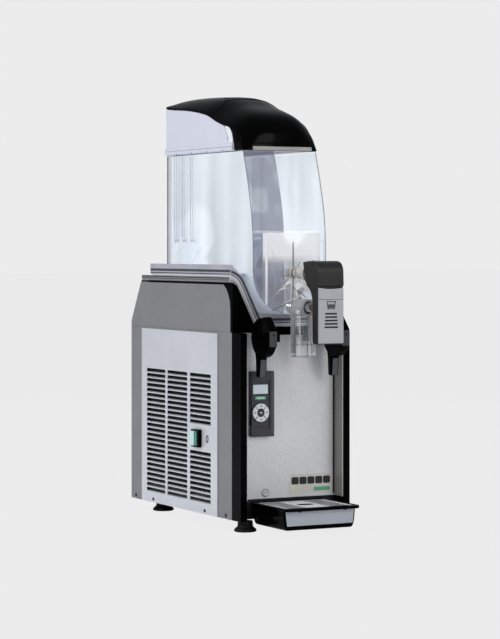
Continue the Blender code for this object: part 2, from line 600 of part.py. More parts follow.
def build_handle():
    """Bell-shaped post on the bowl front, and the lever that turns on it."""
    post = ((0, -0.2388), (0.013, -0.2388), (0.0145, -0.246), (0.021, -0.256), (0.0240, -0.2615), (0, -0.2615))
    support = lathe("handle_post", post, "y", (0, 0, AXIS_Z), "silver_plate", steps=32)
    join(support, box("join_tongue", (-0.007, -0.2930, 0.490), (0.007, -0.2600, 0.510)))
    cut(support, rod("cut_pin_hole", 0.0035, "x", (0, *HANDLE_PIVOT), -0.02, 0.02, steps=16))

    origin = (0, *HANDLE_PIVOT)
    front = HANDLE_FRONT_Y
    cap = [(front, 0.4763), (front + 0.001, 0.510), (front + 0.008, 0.521), (front + 0.022, 0.524)]
    cap += [(-0.330, 0.5215), (-0.300, 0.518), (-0.2680, 0.514), (-0.2680, 0.4860), (-0.303, 0.4840)]
    cap += [(front + 0.051, 0.4780), (front + 0.034, 0.468), (front + 0.024, 0.450), (front + 0.024, 0.372)]
    cap += [(front + 0.020, 0.366), (front + 0.0035, 0.366), (front + 0.0035, 0.4763)]
    lever = prism("tap_handle", cap, "x", -0.028, 0.028, "brown_black", origin)
    bevel = lever.modifiers.new("Bevel", "BEVEL")
    bevel.width = 0.003
    bevel.segments = 2
    bevel.limit_method = "ANGLE"
    bevel.angle_limit = math.radians(50)
    for side in (-1, 1):
        waist = mirrored(0.019, 0.040, side)
        cut(lever, box(f"cut_waist_{side}", (waist[0], -0.350, 0.44), (waist[1], -0.250, 0.56)))
    cut(lever, box("cut_fork", (-0.0078, -0.3010, 0.44), (0.0078, -0.250, 0.56)))
    pin = rod("join_pin", 0.0032, "x", origin, -0.018, 0.018, steps=16)
    join(lever, pin)
    plate = box("handle_plate", (-0.0255, front, 0.368), (0.0255, front + 0.0032, 0.4730), "silver_plate", origin)
    data = bmesh.new()
    for row in range(5):
        place = Matrix.Translation((0, front, 0.398 + row * 0.006)) @ Matrix.Diagonal((0.024, 0.004, 0.003, 1))
        bmesh.ops.create_cube(data, size=1.0, matrix=place)
    cut(plate, finish("cut_handle_slots", data, None))


def build_latch(side):
    tag = "left" if side < 0 else "right"
    y, z = LATCH_PIVOT
    front = y - LATCH_RADIUS + 0.0005
    outline = [(front, z - 0.018), (front, z + 0.014), (y - 0.013, z + 0.0405)]
    outline += arc(LATCH_PIVOT, LATCH_RADIUS, 96, -55, 20)
    outline += [(y + 0.019, 0.330), (y + 0.017, 0.300), (y + 0.007, 0.299), (y + 0.005, 0.336)]
    outline += arc(LATCH_PIVOT, LATCH_RADIUS, -98, -152, 6)
    x = mirrored(*LATCH_X, side)
    origin = ((x[0] + x[1]) / 2, y, z)
    latch = prism(f"latch_{tag}", outline, "x", *x, "gloss_black", origin)
    cut(latch, rod(f"cut_latch_bore_{tag}", 0.0045, "x", (0, y, z), x[0] - 0.01, x[1] + 0.01, steps=16))
    bevel = latch.modifiers.new("Bevel", "BEVEL")
    bevel.width = 0.0015
    bevel.segments = 1
    bevel.limit_method = "ANGLE"
    bevel.angle_limit = math.radians(60)


# ---------------------------------------------------------------- lid
LID_STATIONS = (
    # low edge (y, z), side edge (y, z), ridge (y, z)
    ((0.1600, 0.8375), (0.1600, 0.8420), (0.1610, 0.8510)),
    ((0.1260, 0.8340), (0.1260, 0.8380), (0.1300, 0.8575)),
    ((0.0500, 0.8280), (0.0500, 0.8320), (0.0450, 0.8575)),
    ((-0.0220, 0.8170), (-0.0220, 0.8210), (-0.0330, 0.8520)),
    ((-0.0670, 0.8020), (-0.0670, 0.8070), (-0.0920, 0.8340)),
    ((-0.1280, 0.7820), (-0.1310, 0.7880), (-0.1560, 0.8090)),
    ((-0.1460, 0.7580), (-0.1610, 0.7700), (-0.1870, 0.7770)),
    ((-0.1500, 0.7412), (-0.1850, 0.7412), (-0.1925, 0.7412)),
)


def build_lid():
    """Black cover, domed across its width, over a pale frame that closes the bowl's mouth."""
    data = bmesh.new()
    rows = []
    across = 8
    for low, side, ridge in LID_STATIONS:
        row = [(-LID_HALF_WIDTH, *low)]
        for i in range(across + 1):
            u = -1 + 2 * i / across
            blend = 1 - abs(u) ** 2.4
            y = side[0] + (ridge[0] - side[0]) * blend
            z = side[1] + (ridge[1] - side[1]) * blend
            row.append((u * LID_HALF_WIDTH, y, z))
        row.append((LID_HALF_WIDTH, *low))
        rows.append([data.verts.new(point) for point in row])
    for first, second in zip(rows, rows[1:]):
        for i in range(len(first) - 1):
            data.faces.new((first[i], first[i + 1], second[i + 1], second[i]))
    cover = finish("lid_cover", data, "gloss_black", smooth=True)
    if cover.data.polygons[len(cover.data.polygons) // 2].normal.z < 0:
        cover.data.flip_normals()
    skin = cover.modifiers.new("Solidify", "SOLIDIFY")
    skin.thickness = 0.0022
    skin.offset = -1.0

    low = [(y, z - GAP) for (y, z), _, _ in LID_STATIONS[:6]]
    seam = [(-0.1455, 0.7575), (-0.1455, 0.7397)]
    outline = [(0.1600, 0.7397), *low, *seam]
    frame = prism("lid_frame", outline, "x", -LID_HALF_WIDTH, LID_HALF_WIDTH, "lid_white")
    band = LID_HALF_WIDTH + 0.003
    join(frame, box("join_rim_band", (-band, -0.1450, 0.7412), (band, 0.1635, 0.7550)))
    inside = [(0.1575, 0.730), (0.1575, 0.870), (-0.1420, 0.870), (-0.1420, 0.730)]
    half = LID_HALF_WIDTH - 0.0025
    cut(frame, prism("cut_lid_frame", inside, "x", -half, half))


# ---------------------------------------------------------------- controls
def build_controls():
    x, z = KEY_CENTRE
    housing = box("control_housing", (-0.0860, -0.2300, 0.182), (-0.0370, -0.2168, 0.309), "black_plastic")
    cut(housing, box("cut_display", (-0.0830, -0.2400, 0.2650), (-0.0500, -0.2280, 0.2836)))
    cut(housing, rod("cut_key_well", 0.0182, "y", (x, 0, z), -0.240, -0.2275, steps=32))
    box("display_window", (-0.0827, -0.2303, 0.2653), (-0.0503, -0.2283, 0.2833), "clear")
    names = {"right": 0, "up": 90, "left": 180, "down": 270}
    for tag, angle in names.items():
        outer = arc((x, z), 0.0175, angle - 40, angle + 40, 8)
        inner = arc((x, z), 0.0085, angle + 36, angle - 36, 5)
        middle = math.radians(angle)
        origin = (x + 0.013 * math.cos(middle), -0.2305, z + 0.013 * math.sin(middle))
        prism(f"key_{tag}", outer + inner, "y", -0.2322, -0.2287, "white_plastic", origin)
    rod("key_ok", 0.0068, "y", (x, 0, z), -0.2322, -0.2287, "black_plastic", steps=20, origin=(x, -0.2305, z))


def build_switch():
    bezel = box("switch_bezel", (-0.1305, SWITCH_Y - 0.0150, SWITCH_Z - 0.0175),
                (-0.1140, SWITCH_Y + 0.0150, SWITCH_Z + 0.0175), "gloss_black")
    cut(bezel, box("cut_switch", (-0.140, SWITCH_Y - 0.0122, SWITCH_Z - 0.0148),
                   (-0.1155, SWITCH_Y + 0.0122, SWITCH_Z + 0.0148)))
    pivot = (-0.1240, SWITCH_Y, SWITCH_Z)
    outline = [(-0.1325, SWITCH_Y - 0.0108), (-0.1300, SWITCH_Y), (-0.1325, SWITCH_Y + 0.0108)]
    outline += [(-0.1240, SWITCH_Y + 0.0112), (-0.1185, SWITCH_Y + 0.006), (-0.1185, SWITCH_Y - 0.006)]
    outline += [(-0.1240, SWITCH_Y - 0.0112)]
    prism("switch_rocker", outline, "z", SWITCH_Z - 0.0144, SWITCH_Z + 0.0144, "green_switch", pivot)
    reach = -HANDLE_FRONT_Y - 0.004  # the cord lies as far behind the origin as the handle stands in front
    cord = [(0.080, 0.2440, 0.075), (0.080, 0.290, 0.075), (0.080, 0.325, 0.0045), (0.080, reach, 0.0045)]
    cord += [(0.1325, reach, 0.0045)]
    sweep("power_cord", rounded_path(cord, 0.014), 0.004, "rubber", sides=10)


# ---------------------------------------------------------------- drip tray
def build_tray():
    half, body_front = TRAY_HALF_WIDTH, -0.345
    section = [(-0.073, TRAY_BOTTOM_Z), (0.073, TRAY_BOTTOM_Z), (0.079, 0.0500), (-0.079, 0.0500)]
    tray = prism("drip_tray", section, "y", body_front, TRAY_REAR_Y, "gloss_black")
    bevel = tray.modifiers.new("Bevel", "BEVEL")
    bevel.width = 0.003
    bevel.segments = 2
    corner = 0.006
    rim = [(-half, TRAY_REAR_Y), (-half, TRAY_FRONT_Y + corner), (-half + corner, TRAY_FRONT_Y)]
    rim += [(-x, y) for x, y in reversed(rim)]
    join(tray, prism("join_tray_rim", rim, "z", 0.0490, TRAY_TOP_Z))
    ledge = box("cut_tray_ledge", (-0.0763, -0.3503, 0.0507), (0.0763, -0.2247, 0.070))
    well = box("cut_tray_well", (-0.0700, -0.3410, 0.0160), (0.0700, -0.2280, 0.070))
    cut(tray, ledge, well)

    grid = box("tray_grid", (-0.076, -0.3500, 0.0510), (0.076, -0.2250, 0.0535), "stainless",
               origin=(0, -0.2875, 0.051))
    data = bmesh.new()
    for side in (-1, 1):
        for row in range(7):
            place = Matrix.Translation((side * 0.046, -0.336 + row * 0.0162, 0.0520))
            bmesh.ops.create_cube(data, size=1.0, matrix=place @ Matrix.Diagonal((0.040, 0.007, 0.010, 1)))
    cut(grid, finish("cut_grid_slots", data, None))
    oval = arc((0.004, -0.2875), 0.010, -90, 90, 8) + arc((-0.004, -0.2875), 0.010, 90, 270, 8)
    cut(grid, prism("cut_grid_oval", oval, "z", 0.040, 0.060))

    face = [(-0.0715, 0.0205), (0.0715, 0.0205), (0.0750, 0.0487), (-0.0750, 0.0487)]
    prism("tray_plate", face, "y", body_front - 0.0016, body_front - GAP, "silver_plate")


def main():
    clear_scene()
    for side in (-1, 1):
        build_side(side)
        build_latch(side)
    build_deck()
    build_front()
    build_base()
    build_cooling()
    build_drum()
    build_auger()
    build_belt_drive()
    build_bowl()
    build_tap()
    build_handle()
    build_lid()
    build_controls()
    build_switch()
    build_tray()


main()
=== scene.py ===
"""Looks of a counter-top slushie machine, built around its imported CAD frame.

Units are metres. +X is the viewer's right, the front faces -Y and +Z is up.
The CAD part gives every place and size. This script adds the finished pieces,
their materials, the studio and the camera.
"""

import json
import math

import bmesh
import bpy
from mathutils import Matrix, Vector


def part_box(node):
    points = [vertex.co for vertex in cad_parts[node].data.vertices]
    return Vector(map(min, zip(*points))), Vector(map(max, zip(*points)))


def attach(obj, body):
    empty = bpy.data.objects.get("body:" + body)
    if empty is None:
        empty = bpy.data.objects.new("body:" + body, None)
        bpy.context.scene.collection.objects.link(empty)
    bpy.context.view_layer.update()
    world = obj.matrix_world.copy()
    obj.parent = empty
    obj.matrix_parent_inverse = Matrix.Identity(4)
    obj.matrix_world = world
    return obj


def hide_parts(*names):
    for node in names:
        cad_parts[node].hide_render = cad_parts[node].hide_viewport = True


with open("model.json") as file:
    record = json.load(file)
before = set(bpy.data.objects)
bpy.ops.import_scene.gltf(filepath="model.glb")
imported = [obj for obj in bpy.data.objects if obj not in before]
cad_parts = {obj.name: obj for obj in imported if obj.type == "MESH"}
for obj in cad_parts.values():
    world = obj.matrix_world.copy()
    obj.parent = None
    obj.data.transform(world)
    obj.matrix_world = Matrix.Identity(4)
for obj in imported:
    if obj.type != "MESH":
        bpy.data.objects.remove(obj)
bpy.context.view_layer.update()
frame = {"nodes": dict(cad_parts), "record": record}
NODES = frame["nodes"]

GAP = 0.0003
WELD = 0.000002  # points closer than this are one point
AXIS_Z = 0.5  # drum, auger and bowl bottom
AXIS = (0, 0, AXIS_Z)
TAP_Z = 0.4335
TAP_AXIS = (0, 0, TAP_Z)
LID_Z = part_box("lid_frame")[0].z
AXES = {
    # how two coordinates across an axis and one along it make a point
    "x": lambda a, b, s: (s, a, b),
    "y": lambda a, b, s: (a, s, b),
    "z": lambda a, b, s: (a, b, s),
}
LOOKS = {}


# ---------------------------------------------------------------- node materials
def add(tree, kind, setup=None, **inputs):
    """Add a shader node. An input's keyword is its name or i and its place.

    Its value may be a plain one or another node's output socket.
    """
    node = tree.nodes.new("ShaderNode" + kind)
    for key, value in (setup or {}).items():
        setattr(node, key, value)
    for key, value in inputs.items():
        by_place = key[0] == "i" and key[1:].isdigit()
        socket = node.inputs[int(key[1:]) if by_place else key.replace("_", " ")]
        if isinstance(value, bpy.types.NodeSocket):
            tree.links.new(value, socket)
        else:
            socket.default_value = value
    return node


def blank(name):
    """New material in LOOKS, with its node tree, its output and object coordinates."""
    look = LOOKS[name] = bpy.data.materials.new(name)
    look.use_nodes = True
    tree = look.node_tree
    tree.nodes.clear()
    surface = tree.nodes.new("ShaderNodeOutputMaterial").inputs[0]
    where = tree.nodes.new("ShaderNodeTexCoord").outputs["Object"]
    return tree, surface, where


def noise(tree, where, scale, detail=3.0, stretch=(1, 1, 1)):
    """Noise with features of about 1/scale metres, drawn out along an axis by a small stretch."""
    mapped = add(tree, "Mapping", Vector=where, Scale=tuple(scale * s for s in stretch))
    return add(tree, "TexNoise", Vector=mapped.outputs[0], Scale=1.0, Detail=detail).outputs["Fac"]


def spread(tree, value, low, high, first=0.3, last=0.7):
    """Map a stretch of values, at first the middle of a noise, to a range."""
    node = add(tree, "MapRange", Value=value, From_Min=first, From_Max=last, To_Min=low, To_Max=high)
    return node.outputs["Result"]


def maths(tree, operation, first, second, clamp=False):
    node = add(tree, "Math", {"operation": operation, "use_clamp": clamp}, i0=first, i1=second)
    return node.outputs[0]


def tint(tree, colour, factor):
    """A colour scaled by a factor socket."""
    return add(tree, "VectorMath", {"operation": "SCALE"}, i0=colour, Scale=factor).outputs[0]


def edge_mask(tree, radius):
    """1 on edges and 0 on flat parts, from the difference between the true and the rounded normal."""
    true = add(tree, "NewGeometry").outputs["Normal"]
    soft = add(tree, "Bevel", {"samples": 4}, Radius=radius).outputs["Normal"]
    dot = add(tree, "VectorMath", {"operation": "DOT_PRODUCT"}, i0=true, i1=soft).outputs["Value"]
    return spread(tree, dot, 0.0, 1.0, 0.995, 0.86)


def moulded(name, colour, roughness, grain=0.15, grain_scale=900, specular=0.5, coat=0.0, wear=0.0,
            mottle=0.06, sheen=0.0):
    """Painted or moulded surface: mottled colour, fine grain bump, smudged roughness and rubbed edges."""
    tree, surface, where = blank(name)
    base = tint(tree, colour, spread(tree, noise(tree, where, 22, 2), 1 - mottle, 1 + mottle))
    if wear:
        scratch = spread(tree, noise(tree, where, 260, 4), 0, 1, 0.45, 0.62)
        mask = maths(tree, "MULTIPLY", maths(tree, "MULTIPLY", edge_mask(tree, 0.0007), scratch), wear)
        base = add(tree, "MixRGB", Fac=mask, Color1=base, Color2=(0.5, 0.5, 0.5, 1)).outputs[0]
    fine = noise(tree, where, grain_scale, 3)
    bump = add(tree, "Bump", Strength=grain, Distance=0.0002, Height=fine).outputs[0]
    rough = spread(tree, noise(tree, where, 60, 4), roughness * 0.82, roughness * 1.2)
    shader = add(tree, "BsdfPrincipled", Base_Color=base, Roughness=rough, Normal=bump,
                 Specular_IOR_Level=specular, Coat_Weight=coat, Coat_Roughness=0.08, Sheen_Weight=sheen)
    tree.links.new(shader.outputs[0], surface)


def brushed(name, colour, roughness, stretch, grit=0.25, speckle=0.06, metallic=1.0):
    """Sheet metal with a brushed grain drawn out along one axis, and a faint speckle."""
    tree, surface, where = blank(name)
    grain = noise(tree, where, 1600, 3, stretch)
    dots = spread(tree, noise(tree, where, 700, 2), 1 - speckle, 1 + speckle)
    cloud = spread(tree, noise(tree, where, 9, 2), 0.96, 1.04)
    shade = maths(tree, "MULTIPLY", maths(tree, "ADD", spread(tree, grain, -0.05, 0.05), dots), cloud)
    bump = add(tree, "Bump", Strength=grit, Distance=0.0001, Height=grain).outputs[0]
    rough = spread(tree, grain, roughness * 0.85, roughness * 1.2)
    shader = add(tree, "BsdfPrincipled", Base_Color=tint(tree, colour, shade), Metallic=metallic,
                 Roughness=rough, Normal=bump)
    tree.links.new(shader.outputs[0], surface)


def clear(name, colour, body, roughness, painted_streak, edge=0.5, painted_reflection_above=None, shadow_side=False, glow=0.0):
    """See-through plastic: part clear, part milky, brighter at glancing angles, with soft upright bands of
    painted highlight.

    The milky-upwards argument, (start z, end z, amount), is a painted reflection that turns a plate milky
    white upwards. shadow_side greys the left part of a front face, as the wall behind it does. glow is
    painted light: a faint even brightness that the plastic gives off of its own, though it is no lamp.
    """
    tree, surface, where = blank(name)
    facing = add(tree, "LayerWeight", Blend=0.35).outputs["Facing"]
    # soft upright bands in the milky part: painted highlights
    streaks = noise(tree, where, 34, 3, (1, 1, 0.04))
    milk = spread(tree, streaks, body, body + painted_streak, 0.35, 0.68)
    total = maths(tree, "ADD", milk, maths(tree, "MULTIPLY", facing, edge), clamp=True)
    # painted reflection: a plate turns milky white upwards
    if painted_reflection_above:
        start, end, amount = painted_reflection_above
        height = add(tree, "SeparateXYZ", Vector=where).outputs["Z"]
        total = maths(tree, "MAXIMUM", total, spread(tree, height, 0, amount, start, end))
    tone = add(tree, "RGB").outputs[0]
    tone.default_value = (*colour, 1)
    if shadow_side:
        across = add(tree, "SeparateXYZ", Vector=where).outputs["X"]
        left = spread(tree, across, 0, 1, -0.01, -0.013)
        shapes = spread(tree, noise(tree, where, 16, 1, (1, 1, 0.7)), 0.42, 0.66, 0.45, 0.52)
        total = maths(tree, "ADD", total, maths(tree, "MULTIPLY", left, shapes), clamp=True)
        tone = add(tree, "MixRGB", Fac=left, Color1=tone, Color2=(0.1, 0.105, 0.14, 1)).outputs[0]
    ripple = add(tree, "Bump", Strength=0.04, Distance=0.0004, Height=noise(tree, where, 45, 2)).outputs[0]
    # the emission is painted light: the milky part glows though it is no lamp
    solid = add(tree, "BsdfPrincipled", Base_Color=tone, Roughness=roughness, Normal=ripple,
                Emission_Color=tone, Emission_Strength=glow)
    empty = add(tree, "BsdfTransparent", Color=(1, 1, 1, 1))
    gloss = add(tree, "BsdfGlossy", Color=(1, 1, 1, 1), Roughness=roughness, Normal=ripple)
    shine = add(tree, "Fresnel", IOR=1.45).outputs[0]
    glass = add(tree, "MixShader", Fac=shine, i1=empty.outputs[0], i2=gloss.outputs[0])
    mixed = add(tree, "MixShader", Fac=total, i1=glass.outputs[0], i2=solid.outputs[0])
    tree.links.new(mixed.outputs[0], surface)


def make_looks():
    """Every finish by name. The CAD record's material slots have theirs too."""
    moulded("grey_paint", (0.235, 0.237, 0.247), 0.42, 0.22, 1400, 0.35, wear=0.5, mottle=0.03)
    moulded("gloss_black", (0.0008, 0.0008, 0.0009), 0.16, 0.03, 500, 0.025, wear=0.015, mottle=0.2)
    moulded("lid_black", (0.0008, 0.0008, 0.0008), 0.16, 0.02, 300, 0.04, mottle=0.2)
    moulded("black_plastic", (0.014, 0.014, 0.0155), 0.42, 0.35, 1600, 0.3, wear=0.15)
    moulded("charcoal", (0.04, 0.042, 0.048), 0.4, 0.3, 1500, 0.35, wear=0.2)
    moulded("latch_face", (0.062, 0.065, 0.075), 0.34, 0.25, 1500, 0.4, wear=0.2)
    moulded("brown_black", (0.017, 0.0145, 0.0135), 0.36, 0.35, 1300, 0.32, wear=0.25)
    moulded("skirt_top", (0.44, 0.45, 0.51), 0.2, 0.05, 300, 0.6, mottle=0.08)
    moulded("lid_white", (0.72, 0.74, 0.84), 0.42, 0.03, 900, 0.3, mottle=0.01)
    moulded("white_plastic", (0.78, 0.8, 0.83), 0.34, 0.15, 700, 0.45, mottle=0.03)
    moulded("drum_white", (0.54, 0.64, 0.73), 0.28, 0.1, 400, 0.5, mottle=0.04)
    moulded("auger_white", (0.5, 0.59, 0.72), 0.32, 0.12, 500, 0.5, mottle=0.04)
    moulded("rubber", (0.003, 0.003, 0.003), 0.45, 0.4, 1100, 0.2, sheen=0.02)
    moulded("pale_rubber", (0.66, 0.67, 0.71), 0.55, 0.3, 900, 0.35)
    moulded("brown_plastic", (0.07, 0.048, 0.036), 0.38, 0.2, 900, 0.4)
    moulded("bell", (0.52, 0.5, 0.46), 0.3, 0.12, 700, 0.5)
    moulded("green_switch", (0.01, 0.2, 0.17), 0.12, 0.03, 500, 0.6, coat=0.6, mottle=0.12)
    moulded("switch_glare", (0.62, 0.78, 0.78), 0.14, 0.03, 500, 0.6, coat=0.5)
    moulded("key_white", (0.66, 0.7, 0.73), 0.34, 0.1, 900, 0.4, mottle=0.02)
    moulded("display", (0.66, 0.74, 0.79), 0.12, 0.02, 600, 0.5, coat=0.5, mottle=0.03)
    moulded("green_label", (0.1, 0.36, 0.2), 0.3, 0.05, 600, 0.4)
    moulded("mark_dark", (0.02, 0.02, 0.022), 0.5, 0.2, 900, 0.3)
    # near black for recesses, slots and holes: painted shade
    moulded("painted_shade_dark", (0.006, 0.006, 0.0065), 0.7, 0.3, 900, 0.2)
    moulded("bowl_line", (0.4, 0.42, 0.52), 0.25, 0.05, 500, 0.5)
    # dark lines for the edges of clear plastic: painted shade
    moulded("painted_edge_shade", (0.16, 0.18, 0.2), 0.2, 0.05, 500, 0.5)
    moulded("strip_grey", (0.33, 0.32, 0.3), 0.35, 0.15, 900, 0.4)
    moulded("piston_dark", (0.075, 0.07, 0.062), 0.35, 0.1, 900, 0.4)
    # pale white laid on edges and strips as painted highlights
    moulded("painted_highlight_white", (0.9, 0.92, 0.96), 0.3, 0.03, 900, 0.5, mottle=0.01)
    # grey for the drum's front face: painted shade
    moulded("disc_grey", (0.2, 0.195, 0.185), 0.4, 0.1, 900, 0.3)
    moulded("label_cream", (0.6, 0.58, 0.52), 0.45, 0.1, 900, 0.3)
    brushed("stainless", (0.6, 0.61, 0.62), 0.3, (0.02, 1, 1))
    brushed("front_steel", (0.66, 0.665, 0.67), 0.4, (1, 1, 0.1), 0.35, 0.13, 0.55)
    brushed("panel_steel", (0.77, 0.79, 0.84), 0.36, (1, 0.02, 1), 0.12, 0.02, 0.35)
    brushed("silver_plate", (0.42, 0.435, 0.455), 0.38, (0.03, 1, 1), 0.15, 0.03, 0.3)
    brushed("tray_silver", (0.42, 0.45, 0.5), 0.4, (0.03, 1, 1), 0.15, 0.04, 0.3)
    brushed("copper", (0.72, 0.32, 0.18), 0.3, (1, 1, 0.05))
    brushed("aluminium", (0.72, 0.73, 0.74), 0.34, (1, 1, 0.06))
    # darker copy of the steel for the front panel's inner flanges: painted shade
    brushed("shaded_flange_steel", (0.25, 0.24, 0.22), 0.4, (1, 1, 0.05), 0.15, 0.05, 0.3)
    brushed("grid_steel", (0.8, 0.81, 0.84), 0.35, (0.03, 1, 1), 0.1, 0.05, 0.1)
    # the glow of each clear plastic is painted light, and their soft bands are painted highlights
    clear("clear", (0.84, 0.9, 1.0), 0.1, 0.03, 0.12, glow=0.2)
    clear("bowl_clear", (0.88, 0.94, 1.0), 0.035, 0.03, 0.03, 0.08, glow=1.3)
    clear("bowl_front", (0.88, 0.94, 1.0), 0.045, 0.03, 0.03, 0.08, shadow_side=True, glow=1.2)
    # clear pad whose milky white upper part is a painted reflection
    clear("pad_painted_reflection", (0.95, 0.96, 0.98), 0.04, 0.06, 0.05, 0.2, painted_reflection_above=(0.515, 0.535, 0.72), glow=0.08)
    clear("spout_clear", (0.62, 0.63, 0.66), 0.01, 0.02, 0.03, 0.42, glow=0.12)


# ---------------------------------------------------------------- mesh helpers
def finish(name, data, look, smooth=True):
    """Turn a bmesh into an object with a material."""
    bmesh.ops.recalc_face_normals(data, faces=data.faces)
    mesh = bpy.data.meshes.new(name)
    data.to_mesh(mesh)
    data.free()
    made = bpy.data.objects.new(name, mesh)
    bpy.context.scene.collection.objects.link(made)
    if look:
        mesh.materials.append(LOOKS[look])
    if smooth:
        mesh.shade_smooth()
        mesh.set_sharp_from_angle(angle=math.radians(38))
    return made


def bake(item):
    """Apply an object's modifiers to its mesh."""
    graph = bpy.context.evaluated_depsgraph_get()
    mesh = bpy.data.meshes.new_from_object(item.evaluated_get(graph))
    item.modifiers.clear()
    item.data = mesh
    return item


def bevel(item, width, segments, angle):
    modifier = item.modifiers.new("Round", "BEVEL")
    modifier.width = width
    modifier.segments = segments
    modifier.limit_method = "ANGLE"
    modifier.angle_limit = math.radians(angle)
    return modifier


def rounded(item, width, segments=3, angle=32):
    """Round an object's edges and keep its flat faces flat in shading."""
    bevel(item, width, segments, angle).miter_outer = "MITER_ARC"
    bake(item)
    item.data.shade_smooth()
    item.data.set_sharp_from_angle(angle=math.radians(50))
    item.modifiers.new("Shading", "WEIGHTED_NORMAL").keep_sharp = True
    return item


def carve(item, *cutters, operation="DIFFERENCE"):
    """Apply Booleans and delete the cutters."""
    for cutter in cutters:
        modifier = item.modifiers.new("Carve", "BOOLEAN")
        modifier.operation = operation
        modifier.solver = "EXACT"
        modifier.object = cutter
    bake(item)
    for cutter in cutters:
        bpy.data.objects.remove(cutter, do_unlink=True)
    return item


def fuse(item, *others):
    """Put other objects' meshes, with their materials, into the first object."""
    data = bmesh.new()
    data.from_mesh(bake(item).data)
    for other in others:
        bake(other)
        slots = []
        for look in other.data.materials:
            if look.name not in item.data.materials:
                item.data.materials.append(look)
            slots.append(item.data.materials.find(look.name))
        first = len(data.faces)
        data.from_mesh(other.data)
        data.faces.ensure_lookup_table()
        for face in data.faces[first:]:
            face.material_index = slots[face.material_index] if slots else 0
        bpy.data.objects.remove(other, do_unlink=True)
    data.to_mesh(item.data)
    data.free()
    return item


def box(name, low, high, look=None, radius=0.0, segments=3):
    data = bmesh.new()
    size = Vector(high) - Vector(low)
    centre = (Vector(high) + Vector(low)) / 2
    bmesh.ops.create_cube(data, size=1.0, matrix=Matrix.Translation(centre) @ Matrix.Diagonal((*size, 1.0)))
    made = finish(name, data, look, smooth=False)
    return rounded(made, radius, segments) if radius else made


def prism(name, outline, axis, low, high, look=None, radius=0.0, segments=3, angle=32):
    """Extrude a closed outline along an axis. The outline holds the other two coordinates."""
    point = AXES[axis]
    data = bmesh.new()
    face = data.faces.new([data.verts.new(point(a, b, low)) for a, b in outline])
    grown = bmesh.ops.extrude_face_region(data, geom=[face])
    moved = [item for item in grown["geom"] if isinstance(item, bmesh.types.BMVert)]
    bmesh.ops.translate(data, verts=moved, vec=point(0, 0, high - low))
    made = finish(name, data, look)
    return rounded(made, radius, segments, angle) if radius else made


def slab(name, axis, low, high, corner, look=None, radius=0.0, angle=32, steps=5):
    """Plate across an axis, between two opposite corners in space. corner is one radius or four."""
    along = "xyz".index(axis)
    first, second = [k for k in range(3) if k != along]
    radii = corner if isinstance(corner, tuple) else (corner,) * 4
    outline = round_rect((low[first], low[second]), (high[first], high[second]), radii, steps)
    return prism(name, outline, axis, low[along], high[along], look, radius, 2, angle)


def sheet(name, outline, holes, axis, low, high, look):
    """Plate with holes across an axis. A filled 2-D curve makes it, which copes with many holes."""
    curve = bpy.data.curves.new(name, "CURVE")
    curve.dimensions = "2D"
    curve.fill_mode = "BOTH"
    curve.extrude = (high - low) / 2
    for loop in (outline, *holes):
        spline = curve.splines.new("POLY")
        spline.points.add(len(loop) - 1)
        for point, (a, b) in zip(spline.points, loop):
            point.co = (a, b, 0, 1)
        spline.use_cyclic_u = True
    drawing = bpy.data.objects.new(name, curve)
    bpy.context.scene.collection.objects.link(drawing)
    data = bmesh.new()
    data.from_mesh(drawing.to_mesh())
    bpy.data.objects.remove(drawing, do_unlink=True)
    bmesh.ops.remove_doubles(data, verts=data.verts, dist=WELD)
    for vert in data.verts:
        a, b, s = vert.co
        vert.co = AXES[axis](a, b, (low + high) / 2 + s)
    return finish(name, data, look)


def circle(count):
    """Cosine and sine of every step around one turn."""
    return [(math.cos(math.tau * i / count), math.sin(math.tau * i / count)) for i in range(count)]


def lathe(name, profile, axis, centre, look=None, steps=64):
    """Turn a closed (radius, position) profile about an axis through a centre point."""
    data = bmesh.new()
    rings = []
    for radius, along in profile:
        turns = circle(steps if radius > 0 else 1)
        points = [AXES[axis](radius * c, radius * s, along) for c, s in turns]
        rings.append([data.verts.new(Vector(point) + Vector(centre)) for point in points])
    for first, second in zip(rings, rings[1:] + rings[:1]):
        if len(first) == 1 and len(second) == 1:
            continue
        for i in range(steps):
            corners = [first[i % len(first)], first[(i + 1) % len(first)]]
            corners += [second[(i + 1) % len(second)], second[i % len(second)]]
            data.faces.new([v for k, v in enumerate(corners) if v not in corners[:k]])
    return finish(name, data, look)


def rod(name, radius, axis, centre, low, high, look=None, edge=0.0006, steps=48):
    """A round bar with softened ends."""
    ends = [(radius - edge, low), (radius, low + edge), (radius, high - edge), (radius - edge, high)]
    return lathe(name, [(0, low), *ends, (0, high)], axis, centre, look, steps)


def tube(name, path, radius, look, sides=8, closed=False):
    """A round bar along a path of points."""
    points = [Vector(point) for point in path]
    count = len(points)
    data = bmesh.new()
    rings = []
    side = None
    for i, point in enumerate(points):
        before = points[i - 1] if i or closed else point
        after = points[(i + 1) % count] if i < count - 1 or closed else point
        along = (after - before).normalized()
        guess = side or along.orthogonal()
        side = (guess - guess.dot(along) * along).normalized()
        up = along.cross(side)
        rings.append([data.verts.new(point + radius * (c * side + s * up)) for c, s in circle(sides)])
    for first, second in zip(rings, rings[1:] + (rings[:1] if closed else [])):
        for k in range(sides):
            nxt = (k + 1) % sides
            data.faces.new((first[k], first[nxt], second[nxt], second[k]))
    if not closed:
        data.faces.new(rings[0])
        data.faces.new(rings[-1])
    return finish(name, data, look)


def arc(centre, radius, start, end, steps):
    angles = [math.radians(start + (end - start) * i / steps) for i in range(steps + 1)]
    return [(centre[0] + radius * math.cos(t), centre[1] + radius * math.sin(t)) for t in angles]


def round_rect(low, high, radii, steps=5):
    """Rectangle outline with a radius at each corner: low-left, low-right, high-right, high-left."""
    (x0, y0), (x1, y1) = low, high
    a, b, c, d = radii
    outline = arc((x0 + a, y0 + a), a, 180, 270, steps) + arc((x1 - b, y0 + b), b, 270, 360, steps)
    return outline + arc((x1 - c, y1 - c), c, 0, 90, steps) + arc((x0 + d, y1 - d), d, 90, 180, steps)


